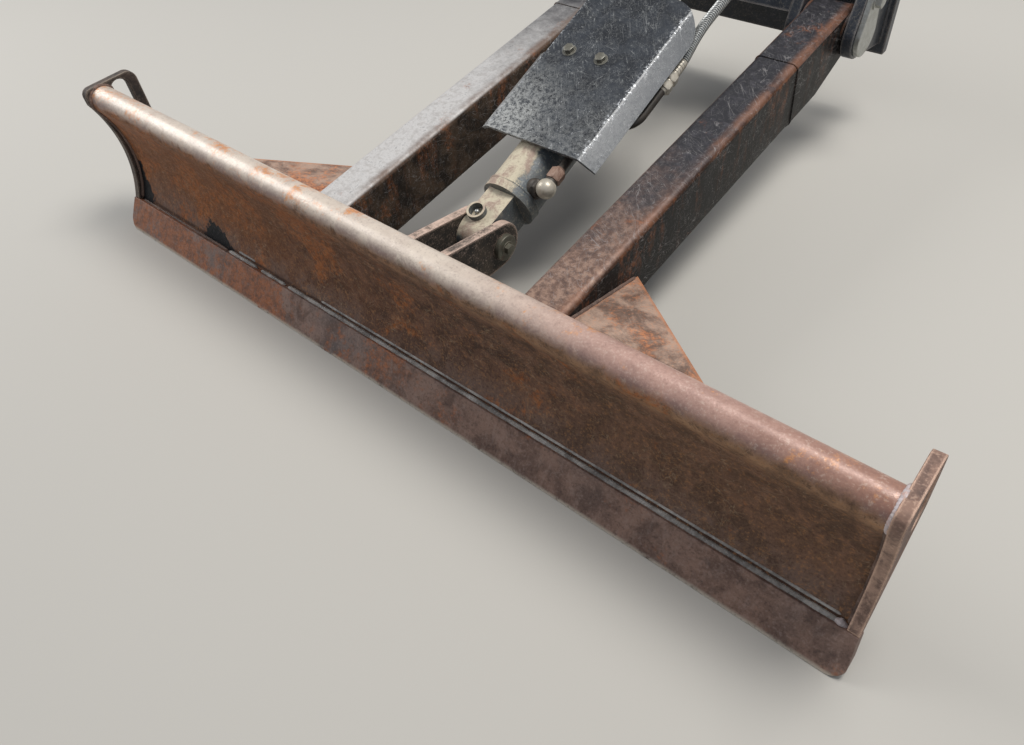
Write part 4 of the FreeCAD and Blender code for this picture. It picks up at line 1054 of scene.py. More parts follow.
class Shape:
    """A mesh being put together from rings and sweeps, in metres of the frame."""

    def __init__(self, finish: Finish) -> None:
        """Starts with nothing in it, in one finish."""
        self.points: list[np.ndarray] = []
        self.faces: list[tuple[int, ...]] = []
        self.count = 0
        self.coats: list[tuple[int, Finish]] = [(0, finish)]

    def coat(self, finish: Finish) -> "Shape":
        """Gives what is added from here on another finish."""
        self.coats.append((len(self.faces), finish))
        return self

    def skinned(self, rows: list[np.ndarray], capped: bool = True) -> "Shape":
        """Adds a surface round rings of points.

        Args:
            rows: the rings, each with as many points.
            capped: whether the first and the last ring are closed by a face.

        Returns:
            The shape itself.
        """
        across = len(rows[0])
        starts = range(self.count, self.count + len(rows) * across, across)
        self.points += rows
        self.count += len(rows) * across
        for start in starts[:-1]:
            for j in range(across):
                a, b = start + j, start + (j + 1) % across
                self.faces.append((a, b, b + across, a + across))
        if capped:
            self.faces.append(tuple(starts[0] + j for j in reversed(range(across))))
            self.faces.append(tuple(starts[-1] + j for j in range(across)))
        return self

    def turned(self, foot: Vector, axis: Vector, profile: Sequence[Sequence[float]],
               sides: int = 48) -> "Shape":
        """Adds a turned or hexagonal body.

        Args:
            foot: where the profile's distance is 0.
            axis: the direction that distance grows in.
            profile: rows of distance along and radius, in millimetres, and width across flats for a hexagon.
            sides: the number of corners in a ring, a multiple of 6.

        Returns:
            The shape itself.
        """
        axis = axis.normalized()
        first = axis.orthogonal().normalized()
        second = axis.cross(first)
        angles = np.arange(sides) * 2.0 * math.pi / sides
        hexagon = 0.5 / np.cos((angles + math.pi / 6.0) % (math.pi / 3.0) - math.pi / 6.0)
        rows = []
        for distance, radius, *flats in profile:
            reach = np.minimum(radius, flats[0] * hexagon) if flats else np.full(sides, radius)
            rows.append(ring(angles, reach, first, second) * MM + np.array(foot + axis * distance * MM))
        return self.skinned(rows)

    def swept(self, path: np.ndarray, radius: Radius, sides: int, closed: bool = False) -> "Shape":
        """Adds a round bar along a path.

        Args:
            path: the points that it follows, in metres.
            radius: its radius in metres, or a function of the distance along and the angles round.
            sides: the number of corners in a ring.
            closed: whether the path's end meets its start.

        Returns:
            The shape itself.
        """
        ahead = np.roll(path, -1, 0) - np.roll(path, 1, 0)
        if not closed:
            ahead[0], ahead[-1] = path[1] - path[0], path[-1] - path[-2]
        ahead /= np.linalg.norm(ahead, axis=1)[:, None]
        side = np.array(Vector(ahead[0]).orthogonal().normalized())
        angles = np.arange(sides) * 2.0 * math.pi / sides
        travelled, rows = 0.0, []
        for index, point in enumerate(path):
            side = side - ahead[index] * (side @ ahead[index])
            side /= np.linalg.norm(side)
            up = np.cross(ahead[index], side)
            if index:
                travelled += float(np.linalg.norm(point - path[index - 1]))
            reach = radius(travelled, angles) if callable(radius) else np.full(sides, radius)
            rows.append(point + ring(angles, reach, side, up))
        return self.skinned([*rows, rows[0]] if closed else rows, not closed)

    def bead(self, places: Sequence[Vector], radius: float, pitch: float = 3.2, crest: float = 0.05,
             closed: bool = False) -> "Shape":
        """Adds a weld bead along straight runs or a fine curve.

        Args:
            places: the points that it follows.
            radius: its radius, in millimetres.
            pitch: the length of one ripple, in millimetres.
            crest: the height of one ripple, as a share of the radius.
            closed: whether it runs all the way round.

        Returns:
            The shape itself.
        """
        path = resampled([*places, places[0]] if closed else places, pitch * MM / 4.0)
        phase, length = self.count % 17, float(steps(path).sum())

        def ripple(travelled: float, angles: np.ndarray) -> np.ndarray:
            """The bead's radius, with crescents along it, a slow waver and tapered ends."""
            turns = travelled / (pitch * MM)
            wave = np.cos(2.0 * math.pi * turns - 1.4 * np.cos(angles))
            waver = 0.07 * math.sin(turns * 0.83 + phase) + 0.05 * math.sin(turns * 0.31 + 2.0 * phase)
            end = 1.0 if closed else min(1.0, 0.35 + min(travelled, length - travelled) / (radius * MM) * 0.5)
            return radius * MM * (1.0 + waver + crest * wave) * end

        return self.swept(path, ripple, 10)

    def piece(self, name: str, body: Body) -> bpy.types.Object:
        """Makes the shape an object that rides on a body.

        Args:
            name: the object's name.
            body: the body that carries it.

        Returns:
            The new object.
        """
        mesh = bpy.data.meshes.new(name)
        mesh.from_pydata(np.concatenate(self.points).tolist(), [], self.faces)
        mesh.polygons.foreach_set("use_smooth", [True] * len(mesh.polygons))
        marks = np.zeros(len(mesh.polygons), dtype=np.int32)
        for index, (first, finish) in enumerate(self.coats):
            mesh.materials.append(finish.material())
            marks[first:] = index
        mesh.polygons.foreach_set("material_index", marks)
        made = added(name, mesh)
        mesh.set_sharp_from_angle(angle=SMOOTH_WITHIN)
        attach(made, body.value)
        LOG.info("%s: %d faces on %s", name, len(mesh.polygons), body.value)
        return made


def ring(angles: np.ndarray, reach: np.ndarray, first: Sequence, second: Sequence) -> np.ndarray:
    """Points round a middle, at a reach for each angle between two directions."""
    return np.outer(np.cos(angles) * reach, first) + np.outer(np.sin(angles) * reach, second)


def steps(path: np.ndarray) -> np.ndarray:
    """The distances from each of a line's points to the next."""
    return np.linalg.norm(np.diff(path, axis=0), axis=1)


def places_at(path: np.ndarray, wanted: np.ndarray) -> np.ndarray:
    """The places at given distances along a line, one row each."""
    lengths = np.concatenate([[0.0], np.cumsum(steps(path))])
    return np.column_stack([np.interp(wanted, lengths, path[:, k]) for k in range(3)])


def resampled(places: Sequence[Vector], step: float) -> np.ndarray:
    """Points along straight runs, evenly spaced by about a step in metres."""
    path = np.array([tuple(p) for p in places])
    length = np.cumsum(steps(path))[-1]
    return places_at(path, np.linspace(0.0, length, max(3, int(length / step) + 1)))


def rounded(places: Sequence[Vector], bend: float = 0.0) -> np.ndarray:
    """Straight runs with a tangent arc at each corner.

    Args:
        places: the corners of the runs.
        bend: the arcs' radius in millimetres, or 0 for arcs as large as fit.

    Returns:
        The points, one row each, in metres.
    """
    points = [places[0]]
    for before, corner, after in zip(places, places[1:], places[2:]):
        back, ahead = (before - corner).normalized(), (after - corner).normalized()
        half = back.angle(ahead) / 2.0
        shorter = min((before - corner).length, (after - corner).length)
        trim = bend * MM / math.tan(half) if bend else 0.45 * shorter
        centre = corner + (back + ahead).normalized() * trim / math.cos(half)
        start, end = corner + back * trim - centre, corner + ahead * trim - centre
        points += [centre + start.normalized().slerp(end.normalized(), share) * start.length
                   for share in np.linspace(0.0, 1.0, ARC_STEPS)]
    return resampled([*points, places[-1]], LINE_STEP)


class Assembly:
    """A sub-assembly: it dresses the model's own pieces and adds its small ones."""

    def __init__(self, nodes: dict[str, bpy.types.Object]) -> None:
        """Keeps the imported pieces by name."""
        self.nodes = nodes

    def dress(self, name: str, finish: Finish, rounding: float = 0.0) -> None:
        """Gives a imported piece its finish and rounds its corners.

        Args:
            name: the piece's name.
            finish: its finish.
            rounding: the radius of its corners, in millimetres, or 0 to leave them.
        """
        node = self.nodes[name]
        node.data.materials.clear()
        node.data.materials.append(finish.material())
        if rounding:
            new = node.modifiers.new
            settled(new("join", "WELD"), merge_threshold=SAME_PLACE)
            settled(new("flat", "DECIMATE"), decimate_type="DISSOLVE", angle_limit=FLAT_WITHIN)
            settled(new("corners", "BEVEL"), width=rounding * MM, segments=3, limit_method="ANGLE",
                    angle_limit=ROUNDED_BEYOND)
            settled(new("even", "WEIGHTED_NORMAL"), keep_sharp=False, weight=60)
        LOG.info("%s dressed in %s", name, finish.name)


def hex_bolt(shape: Shape, foot: Vector, axis: Vector, flats: float, washer: float) -> None:
    """Adds a washer and a chamfered hexagon head.

    Args:
        shape: what to add to.
        foot: the middle of the face that the washer lies on.
        axis: the way out of that face.
        flats: the head's width across flats, in millimetres.
        washer: the washer's thickness, in millimetres.
    """
    out = flats * 0.58
    rim = flats * 0.76
    top = washer * 2.0 + flats * 0.38
    shape.turned(foot, axis, [(0.0, rim), (washer - 0.3, rim), (washer, rim - 0.3), (washer, out * 0.5)])
    shape.turned(foot, axis, [(washer - 0.2, out * 1.2, flats), (top - flats * 0.1, out * 1.2, flats),
                              (top - flats * 0.04, out * 0.98, flats), (top, flats * 0.44, flats),
                              (top, flats * 0.1)])


def grease_nipple(shape: Shape, foot: Vector, axis: Vector) -> None:
    """Adds a grease nipple: hexagon, neck and ball."""
    shape.turned(foot, axis, [(0.0, 5.0, 8.0), (4.0, 5.0, 8.0), (4.6, 3.9), (5.0, 2.5), (7.6, 2.2),
                              (8.6, 3.0), (10.4, 3.0), (11.6, 2.0), (12.0, 0.8)], 24)


class Blade(Assembly):
    """The curved sheet, its cutting edge, end plates and the channel behind."""

    channel_low: float = 62.0
    channel_high: float = 130.0
    seam_runs: tuple[tuple[float, float, float], ...] = (
        (-600.0, -366.0, 2.2), (-362.0, -292.0, 3.3), (-283.0, -227.0, 3.1), (-220.0, 596.0, 3.4))
    ridge_runs: tuple[tuple[float, float], ...] = ((-340.0, -300.0), (-150.0, 590.0))
    ridge_rise: float = 7.0
    pale_length: float = 14.0
    thin_bead: float = 3.0

    def build(self) -> None:
        """Dresses the plates and lays their welds."""
        self.dress("mouldboard", SHEET_RUST, 1.5)
        self.dress("cutting_edge", EDGE_RUST, 1.2)
        self.dress("end_plate_left", LEFT_PLATE_RUST, 1.6)
        self.dress("end_plate_right", RIGHT_PLATE_RUST, 2.2)
        self.dress("back_channel", BACK_PAINT, 2.5)
        self.seam()
        for side, name in SIDES:
            self.end_welds(side, name)
        self.channel_welds()

    def seam(self) -> None:
        """The long weld between the sheet and the cutting edge, with a thin ridge on the sheet above it."""
        back, up = SHEET.seam
        shape = Shape(WELD_STEEL)
        for x0, x1, radius in self.seam_runs:
            shape.coat(WELD_RUST if radius < self.thin_bead else WELD_STEEL)
            shape.bead([spot(x, back - 0.6, up + 0.9) for x in (x0, x1)], radius, 4.4, 0.03)
        high = up + self.ridge_rise
        for ends in self.ridge_runs:
            shape.bead([spot(x, SHEET.face_at(high) + 0.5, high) for x in ends], 1.7, 5.0, 0.03)
        end = SHEET.end_x(1, up)
        pale = [spot(x, back - 1.0, up + 1.5) for x in (end - self.pale_length, end)]
        shape.coat(WELD_PALE).bead(pale, 4.6, 5.0)
        shape.piece("seam_weld", Body.BLADE)

    def end_welds(self, side: int, name: str) -> None:
        """The weld between the sheet's face and an end plate, up over the roll, and one behind.

        Args:
            side: -1 for the left end and 1 for the right one.
            name: the side's name.
        """
        centre = SHEET.centre
        start = math.degrees(math.atan2(SHEET.seam[1] - centre[1], SHEET.seam[0] - centre[0]))
        joint = math.degrees(math.atan2(SHEET.roll_centre[1] - centre[1], SHEET.roll_centre[0] - centre[0]))

        def along(middle: tuple[float, float], radius: float, first: float, last: float) -> list[Vector]:
            """Places beside the end plate on a circle of the sheet's section."""
            places = [on_circle(middle, radius, turn) for turn in np.linspace(first, last, 40)]
            return [spot(SHEET.end_x(side, up), back, up) for back, up in places]

        face = along(centre, SHEET.face_radius, start + 1.0, joint)
        roll = along(SHEET.roll_centre, SHEET.roll_radius, joint + 178.0, 20.0)
        shape = Shape(WELD_RUST).bead(face, self.thin_bead)
        shape.bead(along(centre, SHEET.face_radius + SHEET.thickness, start, joint), 4.0)
        shape.coat(WELD_PALE if side > 0 else WELD_RUST).bead(roll, self.thin_bead)
        shape.piece("end_weld_" + name, Body.BLADE)

    def channel_welds(self) -> None:
        """The welds along the channel's two long edges."""
        shape = Shape(WELD_RUST)
        inner, outer = ARMS.sides
        for up, offset in ((self.channel_low, -1.0), (self.channel_high, 1.0)):
            back = SHEET.face_at(up, SHEET.thickness) + 1.0
            for ends in ((SHEET.end_x(-1, up), -outer), (-inner, inner), (outer, SHEET.end_x(1, up))):
                shape.bead([spot(x, back, up + offset) for x in ends], 4.0, 4.0)
        shape.piece("channel_welds", Body.BLADE)


class PushArms(Assembly):
    """The two arms with their solid ends and gussets."""

    def build(self) -> None:
        """Dresses both arms and lays their welds."""
        for (side, name), finish in zip(SIDES, (ARM_LEFT_PAINT, ARM_RIGHT_PAINT)):
            self.dress("arm_" + name, finish)
            self.dress("arm_end_" + name, finish, 1.5)
            self.dress("gusset_" + name, GUSSET_RUST, 1.2)
            joint = Shape(finish).bead(self.ring(side, ARMS.joint_back), 1.8, 3.4, closed=True)
            joint.piece("arm_joint_weld_" + name, Body.BLADE)
            self.root_welds(side, name)

    @staticmethod
    def ring(side: int, back: float) -> list[Vector]:
        """The outline of an arm's section at a distance back, with its rounded corners.

        Args:
            side: -1 for the left arm and 1 for the right one.
            back: the distance back.

        Returns:
            The outline's places.
        """
        high, low = ARMS.top(back), ARMS.top(back) - ARMS.depth
        places = []
        for dx, dz, turn in ((1, 1, 0.0), (-1, 1, 90.0), (-1, -1, 180.0), (1, -1, 270.0)):
            x = side * ARMS.centre_x + dx * (ARMS.width / 2.0 - ARMS.corner)
            z = (high if dz > 0 else low) - dz * ARMS.corner
            for step in range(7):
                across, up = on_circle((x, z), ARMS.corner, turn + step * 15.0)
                places.append(spot(across, back - (up - high) * ARMS.slope, up))
        return places

    def root_welds(self, side: int, name: str) -> None:
        """The welds of an arm's root on the sheet, and of its gusset.

        Args:
            side: -1 for the left arm and 1 for the right one.
            name: the side's name.
        """
        root = Shape(WELD_RUST)
        inner, outer = (side * x for x in ARMS.sides)
        high = ARMS.top(SHEET.face_at(ARMS.root_up, SHEET.thickness))
        rise = np.linspace(high - ARMS.depth, high, 12)
        fall = np.linspace(high, high - ARMS.depth, 12)
        root.bead([*SHEET.up_the_back(inner, rise), *SHEET.up_the_back(outer, fall)], 4.0, 4.0)
        apex_back, apex_up = ARMS.gusset_apex

        def gusset_up(at: float) -> float:
            """The gusset's top at a distance back."""
            return apex_up + (apex_back - at) * ARMS.gusset_drop

        front = SHEET.face_at(gusset_up(ARMS.gusset_root), SHEET.thickness)
        span = SHEET.half_width - ARMS.gusset_to_end - abs(outer)
        far = outer + side * span * (apex_back - front) / (apex_back - ARMS.gusset_root)
        tip = apex_back - 6.0
        for under in (0.0, ARMS.gusset_thickness + 0.5):
            root.bead([spot(outer, back, gusset_up(back) - under) for back in (tip, front)], 3.0)
            root.bead([spot(x, front, gusset_up(front) - under) for x in (outer, far)], 3.4)
        root.piece("arm_root_weld_" + name, Body.BLADE)


class Clevis(Assembly):
    """The ears behind the blade and the pin that carries the cylinder."""

    ear_x: float = 28.5
    ear_thickness: float = 13.0
    head_x: float = 43.0
    bolt_flats: float = 13.0
    root: tuple[float, float] = (130.0, 170.0)
    channel: tuple[float, float, float] = (92.0, 80.0, 129.0)

    def build(self) -> None:
        """Dresses the ears and the pin, and lays the ears' welds."""
        for _, name in SIDES:
            self.dress("clevis_plate_" + name, EAR_RUST, 2.0)
        self.dress("clevis_pin", PIN_STEEL, 1.5)
        bolt = Shape(PIN_STEEL)
        hex_bolt(bolt, spot(self.head_x, *CLEVIS_PIN), Vector((1, 0, 0)), self.bolt_flats, 1.0)
        bolt.piece("clevis_pin_bolt", Body.BLADE)
        welds = Shape(WELD_RUST)
        back, low, high = self.channel
        for side in (-1, 1):
            for face in (-0.5, 0.5):
                x = side * self.ear_x + face * self.ear_thickness
                welds.bead(SHEET.up_the_back(x, np.linspace(*self.root, 10)), 3.4)
                welds.bead([spot(x, back, low), spot(x, back, high)], 3.4)
        welds.piece("ear_welds", Body.BLADE)


@dataclass(frozen=True)
class CylinderSizes:
    """The lift cylinder's own numbers, in millimetres."""

    cap_end: float = 72.0
    barrel_radius: float = 38.5
    gland_end: float = 418.0
    span: float = 580.0
    rod_eye_radius: float = 32.0
    rod_radius: float = 17.5
    nipple: tuple[float, float, float] = (-8.0, 15.0, 24.0)


class LiftCylinder(Assembly):
    """The cylinder with its eyes, gland and rod."""

    sizes = CylinderSizes()

    def build(self) -> None:
        """Dresses the cylinder and adds its welds, its wiper and its nipple."""
        for name in ("base_eye", "barrel", "gland"):
            self.dress(name, BARREL_PAINT, 1.2)
        self.dress("piston_rod", CHROME)
        self.dress("rod_eye", BARREL_PAINT, 1.5)
        s = self.sizes
        cap = self.circle(s.cap_end, s.barrel_radius)
        Shape(BARREL_PAINT).bead(cap, 2.2, closed=True).piece("barrel_weld", Body.BARREL)
        eye = self.circle(s.span - s.rod_eye_radius + 1.0, s.rod_radius)
        Shape(BARREL_PAINT).bead(eye, 2.8, closed=True).piece("rod_eye_weld", Body.ROD)
        wiper = Shape(RUBBER).turned(on_cylinder(0, s.gland_end, 0), AHEAD, [
            (-1.0, 30.0), (2.0, 30.0), (3.5, 27.0), (4.0, 21.0), (2.5, 19.0), (2.5, 18.2)])
        wiper.piece("rod_wiper", Body.BARREL)
        nipple = Shape(ZINC)
        grease_nipple(nipple, on_cylinder(*s.nipple), ABOVE)
        nipple.piece("base_eye_nipple", Body.BARREL)

    @staticmethod
    def circle(station: float, radius: float) -> list[Vector]:
        """A circle round the cylinder's axis."""
        turns = np.linspace(0.0, 2.0 * math.pi, 72, endpoint=False)
        return [on_cylinder(radius * math.cos(a), station, radius * math.sin(a)) for a in turns]


class CylinderGuard(Assembly):
    """The folded guard, its saddle and its two bolts."""

    top: float = 48.0
    bolts: tuple[tuple[float, float], ...] = ((-41.5, 285.0), (11.5, 285.0))
    bolt_flats: float = 13.0

    def build(self) -> None:
        """Dresses the guard and adds its bolts."""
        self.dress("cylinder_guard", GUARD_PAINT, 1.0)
        self.dress("guard_bracket", BARREL_PAINT, 1.0)
        shape = Shape(BOLT_STEEL)
        for x, station in self.bolts:
            hex_bolt(shape, on_cylinder(x, station, self.top), ABOVE, self.bolt_flats, 1.2)
        shape.piece("guard_bolts", Body.BARREL)


@dataclass(frozen=True)
class LineSizes:
    """The hydraulic lines, in the cylinder's own numbers, in millimetres."""

    port_rise: float = 27.0
    ball_distance: float = 61.0
    ball_radius: float = 13.4
    neck_length: float = 31.0
    front_station: float = 86.0
    rear_station: float = 372.0
    line: tuple[float, float] = (96.0, 12.0)
    fitting_start: float = 296.0
    fitting_length: float = 27.0
    pipe_lead: float = 60.0
    pipe_bend: float = 40.0
    pipe_radius: float = 6.0
    first_run: float = 23.0
    lead: float = 42.0
    slot_x: float = 84.0
    set_in: tuple[float, float] = (412.0, 8.0)
    entry: tuple[float, float] = (540.0, 0.0)
    end: tuple[float, float] = (680.0, -35.0)
    hose_radius: float = 6.6
    crimp: float = 26.0
    wire: float = 1.15
    pitch: float = 3.7


class HydraulicLines(Assembly):
    """Ports, pipe and the two spring-guarded hoses."""

    sizes = LineSizes()

    def build(self) -> None:
        """Replaces the plain lines by detailed ones."""
        s = self.sizes
        ports = Shape(LINE_NUT)
        for side, station in ((1, s.front_station), (-1, s.rear_station)):
            self.port(ports, side, station)
        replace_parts(ports.piece("ports", Body.BARREL), "port_elbows")
        x, level = s.line
        start = self.ball(1, s.front_station) + AHEAD * s.neck_length * MM
        stations = (s.fitting_start - s.pipe_lead, s.fitting_start)
        route = [start, start + AHEAD * s.pipe_lead * MM, *(on_cylinder(x, at, level) for at in stations)]
        pipe = Shape(LINE_DARK).swept(rounded(route, s.pipe_bend), s.pipe_radius * MM, 20)
        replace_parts(pipe.piece("steel_pipe", Body.BARREL), "pressure_pipe")
        union = Shape(LINE_ZINC)
        union.turned(route[-1], AHEAD, [(-3.0, 6.4), (0.0, 7.6), *self.nut(0.2, 12.0), (12.2, 8.6),
                                        (14.6, 8.6), *self.nut(14.8, 26.6), (27.0, 7.4)])
        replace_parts(union.piece("hose_union", Body.BARREL), "hose_fitting")
        hose_start = s.fitting_start + s.fitting_length
        runs = [on_cylinder(x, station, level) for station in (hose_start, hose_start + s.first_run)]
        self.hose("right", runs + [on_cylinder(s.slot_x, *place) for place in (s.set_in, s.entry, s.end)])
        start = self.ball(-1, s.rear_station) + AHEAD * s.neck_length * MM
        runs = [start, start + AHEAD * s.lead * MM]
        self.hose("left", runs + [on_cylinder(-s.slot_x, *place) for place in (s.entry, s.end)])

    @staticmethod
    def nut(start: float, end: float, flats: float = 19.0) -> list[tuple[float, ...]]:
        """A chamfered hexagon's profile between two distances."""
        return [(start, flats * 0.49, flats), (start + 1.2, flats * 0.58, flats),
                (end - 1.2, flats * 0.58, flats), (end, flats * 0.49, flats)]

    def out(self, side: int) -> Vector:
        """The direction that a port points in."""
        rise = math.radians(self.sizes.port_rise)
        return (on_cylinder(side * math.cos(rise), 0, math.sin(rise)) - on_cylinder(0, 0, 0)).normalized()

    def ball(self, side: int, station: float) -> Vector:
        """The middle of a port's ball."""
        return on_cylinder(0, station, 0) + self.out(side) * self.sizes.ball_distance * MM

    def port(self, shape: Shape, side: int, station: float) -> None:
        """Adds one port: welded boss, union nut, ball elbow, and the neck with its nut.

        Args:
            shape: what to add to.
            side: -1 for the left port and 1 for the right one.
            station: the port's place along the cylinder.
        """
        s = self.sizes
        out, ball, radius = self.out(side), self.ball(side, station), s.ball_radius
        shape.coat(LINE_DARK).turned(on_cylinder(0, station, 0), out, [
            (35.0, 15.0), (39.0, 13.2), (40.0, 11.6), *self.nut(41.0, 49.4, 22.0), (49.6, 10.4)])
        shape.coat(LINE_ZINC).turned(ball, out, [(-radius * math.cos(a), max(0.4, radius * math.sin(a)))
                                                 for a in np.linspace(0.0, math.pi, 21)])
        shape.coat(LINE_DARK).turned(ball, AHEAD, [
            (8.0, 9.0), (12.4, 9.0), (13.6, 8.0), (15.0, 7.6)])
        shape.coat(LINE_NUT).turned(ball, AHEAD, [*self.nut(14.0, s.neck_length - 0.4), (s.neck_length, 7.4),
                                                  (s.neck_length + 3.0, 6.6)])

    def hose(self, name: str, route: list[Vector]) -> None:
        """Makes one hose: its cover, its crimped ends, its spring and the swivel nut that it ends in.

        Args:
            name: the side's name.
            route: the corners that the hose rounds.
        """
        s = self.sizes
        path = rounded(route)
        cover = Shape(RUBBER).swept(path, s.hose_radius * MM * 0.92, 18)
        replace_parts(cover.piece("hose_cover_" + name, Body.BARREL), "hose_" + name)
        length = float(steps(path).sum())
        crimp = s.crimp * MM
        coil = spring_line(path, crimp, length - crimp, s.hose_radius * MM, s.pitch * MM)
        Shape(SPRING_STEEL).swept(coil, s.wire * MM, 6).piece("hose_spring_" + name, Body.BARREL)
        first, last = Vector(path[1] - path[0]), Vector(path[-1] - path[-2])
        grooves = [(at + step, radius) for at in (4.0, 9.0, 14.0, 19.0)
                   for step, radius in ((0.0, 6.9), (0.6, 7.5), (3.6, 7.5), (4.2, 6.9))]
        sleeve = [(0.0, 6.4), (0.8, 7.5), (3.2, 7.5), *grooves, (24.0, 7.4), (s.crimp, 6.9)]
        ends = Shape(LINE_ZINC).turned(Vector(path[0]), first, sleeve, 36)
        ends.turned(Vector(path[-1]), -last, sleeve, 36)
        ends.coat(LINE_NUT).turned(Vector(path[-1]), last, [(-1.0, 6.6), *self.nut(0.4, 16.6), (16.8, 6.4),
                                                            (9.0, 5.6)])
        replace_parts(ends.piece("hose_fittings_" + name, Body.BARREL), "hose_end_" + name)


def spring_line(path: np.ndarray, start: float, end: float, radius: float, pitch: float) -> np.ndarray:
    """The helix of a spring wound round a line.

    Args:
        path: the line's points.
        start: where the spring starts along it, in metres.
        end: where it ends.
        radius: the helix's radius.
        pitch: the advance in one turn.

    Returns:
        The helix's points, one row each.
    """
    wanted = np.linspace(start, end, int((end - start) / pitch * COIL_STEPS))
    centre = places_at(path, wanted)
    ahead = np.gradient(centre, axis=0)
    ahead /= np.linalg.norm(ahead, axis=1)[:, None]
    side = np.cross(ahead, (1.0, 0.0, 0.0))
    side /= np.linalg.norm(side, axis=1)[:, None]
    up = np.cross(ahead, side)
    angle = (wanted - start) / pitch * 2.0 * math.pi
    return centre + radius * (np.cos(angle)[:, None] * side + np.sin(angle)[:, None] * up)


@dataclass(frozen=True)
class NoseSizes:
    """The frame nose, in millimetres."""

    lug_centres: tuple[float, float] = (136.5, 226.0)
    lug_thickness: float = 17.0
    plate_front: float = 914.0
    foot_up: float = 128.0
    top_up: float = 345.0
    keeper: float = 8.0
    keeper_tab: tuple[float, float] = (3.0, 51.0)
    keeper_flats: float = 17.0


class FrameNose(Assembly):
    """The lugs, walls and plate that go onto the machine, with the pins."""

    sizes = NoseSizes()

    def build(self) -> None:
        """Dresses the nose, its welds and its pins."""
        self.dress("frame_plate", FRAME_PAINT, 1.0)
        for name in ("nose_front", "nose_top", "nose_bottom"):
            self.dress(name, FRAME_PAINT)
        for _, name in SIDES:
            for lug in ("inner_lug_", "outer_lug_", "cylinder_lug_"):
                self.dress(lug + name, FRAME_PAINT, 1.5)
            self.dress("arm_pin_" + name, ZINC, 1.2)
        self.dress("rear_pin", PIN_STEEL, 1.5)
        self.welds()
        self.keeper_bolts()

    def welds(self) -> None:
        """The upright welds where the lugs meet the plate."""
        s = self.sizes
        shape = Shape(WELD_PAINT)
        for side in (-1, 1):
            for centre in s.lug_centres:
                for face in (-0.5, 0.5):
                    x = side * centre + face * s.lug_thickness
                    shape.bead([spot(x, s.plate_front, up) for up in (s.foot_up, s.top_up)], 4.2, 4.0)
        shape.piece("lug_welds", Body.FRAME)

    def keeper_bolts(self) -> None:
        """The bolt in each pin flag's tab."""
        s = self.sizes
        outer = s.lug_centres[1] + s.lug_thickness / 2.0 + s.keeper
        back, up = PIVOT[0] + s.keeper_tab[0], PIVOT[1] + s.keeper_tab[1]
        for side, name in SIDES:
            shape = Shape(ZINC)
            hex_bolt(shape, spot(side * outer, back, up), Vector((side, 0, 0)), s.keeper_flats, 2.0)
            shape.piece("keeper_bolt_" + name, Body.FRAME)


@dataclass(frozen=True)
class Lamp:
    """A square soft lamp: where it hangs and what it points at in metres, its side and its power."""

    name: str
    place: tuple[float, float, float]
    aim: tuple[float, float, float]
    size: float
    power: float
    tint: Colour = (1.0, 1.0, 1.0)

    def build(self) -> None:
        """Hangs the lamp."""
        data = bpy.data.lights.new(self.name, "AREA")
        settled(data, size=self.size, energy=self.power, color=self.tint)
        turn = (Vector(self.aim) - Vector(self.place)).to_track_quat("-Z", "Y").to_euler()
        settled(added(self.name, data), location=self.place, rotation_euler=turn)


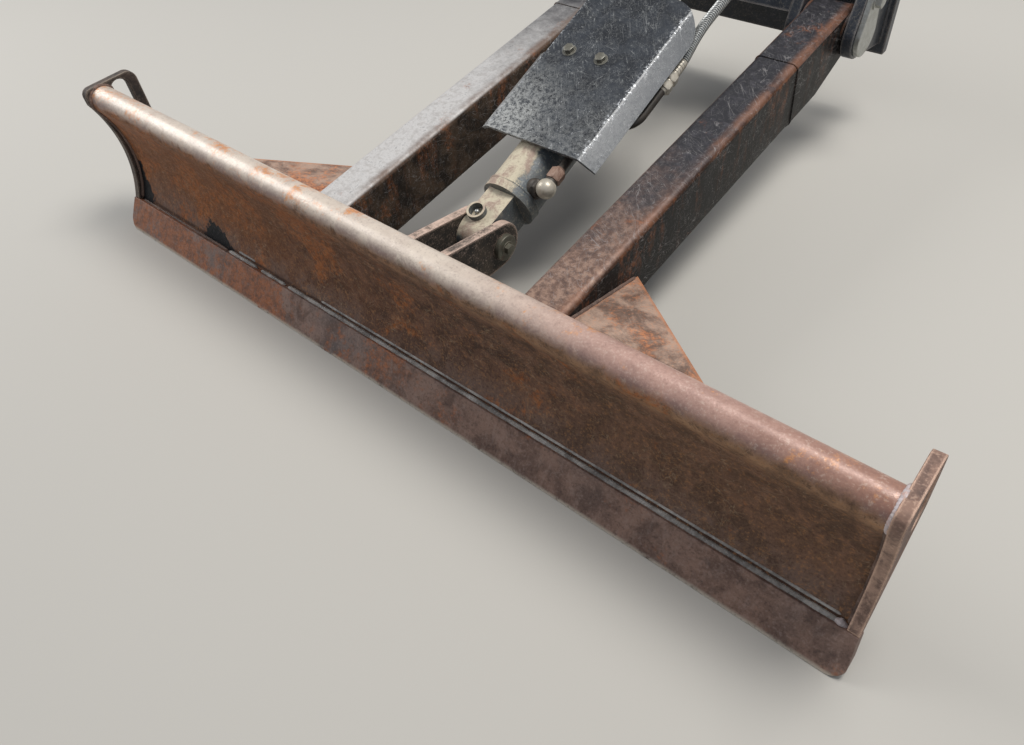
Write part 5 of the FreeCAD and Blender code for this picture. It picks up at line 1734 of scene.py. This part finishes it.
@dataclass(frozen=True)
class Studio:
    """The pale floor, the soft lights and the camera of the photograph."""

    floor_half: float = 9.0
    floor_drop: float = 0.0004
    floor_colour: Colour = srgb(196, 192, 184)
    world_colour: Colour = srgb(226, 232, 242)
    world_strength: float = 0.39
    lamps: tuple[Lamp, ...] = (
        Lamp("key", (0.75, 0.1, 2.5), (0.0, -0.6, -0.1), 1.2, 62.0, (1.0, 0.985, 0.96)),
        Lamp("fill", (-2.3, -1.2, 1.45), (-0.1, -0.9, 0.0), 1.5, 30.0))
    camera_place: tuple[float, float, float] = (0.599, -1.279, 0.520)
    camera_right: tuple[float, float, float] = (0.76521, 0.63753, -0.08951)
    camera_down: tuple[float, float, float] = (0.43422, -0.61376, -0.65936)
    camera_ahead: tuple[float, float, float] = (-0.4753, 0.46568, -0.74648)
    focal_pixels: float = 771.6
    frame_pixels: float = 1024.0
    sensor: float = 36.0
    clip_start: float = 0.02

    def build(self) -> None:
        """Makes the floor, the world, the lamps and the camera."""
        self.floor()
        self.world()
        for lamp in self.lamps:
            lamp.build()
        self.camera()
        bpy.context.scene.view_settings.view_transform = "Standard"

    def floor(self) -> None:
        """A large plain floor under the blade."""
        half, up = self.floor_half, height_of(0.0) - self.floor_drop
        mesh = bpy.data.meshes.new("studio_floor")
        rim = [(-half, -half, up), (half, -half, up), (half, half, up), (-half, half, up)]
        mesh.from_pydata(rim, [], [(0, 1, 2, 3)])
        material = bpy.data.materials.new("studio_floor")
        material.use_nodes = True
        shader = material.node_tree.nodes["Principled BSDF"]
        shader.inputs["Base Color"].default_value = (*self.floor_colour, 1.0)
        shader.inputs["Roughness"].default_value = 0.9
        mesh.materials.append(material)
        added("studio_floor", mesh)

    def world(self) -> None:
        """An even pale world."""
        world = bpy.data.worlds.new("studio_world")
        world.use_nodes = True
        background = world.node_tree.nodes["Background"]
        background.inputs["Color"].default_value = (*self.world_colour, 1.0)
        background.inputs["Strength"].default_value = self.world_strength
        bpy.context.scene.world = world

    def camera(self) -> None:
        """The camera at the photograph's place and angle."""
        data = bpy.data.cameras.new("photo_camera")
        settled(data, sensor_fit="HORIZONTAL", sensor_width=self.sensor, clip_start=self.clip_start,
                lens=self.focal_pixels / self.frame_pixels * self.sensor)
        camera = added("photo_camera", data)
        right, down, ahead = Vector(self.camera_right), Vector(self.camera_down), Vector(self.camera_ahead)
        turn = Matrix((right, -down, -ahead)).transposed().to_4x4()
        camera.matrix_world = Matrix.Translation(Vector(self.camera_place)) @ turn
        bpy.context.scene.camera = camera


def main() -> None:
    """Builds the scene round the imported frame."""
    logging.basicConfig(level=logging.INFO, format="%(name)s: %(message)s")
    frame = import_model()
    Studio().build()
    for part in (Blade, PushArms, Clevis, LiftCylinder, CylinderGuard, HydraulicLines, FrameNose):
        part(frame["nodes"]).build()


if __name__ == "__main__":
    main()
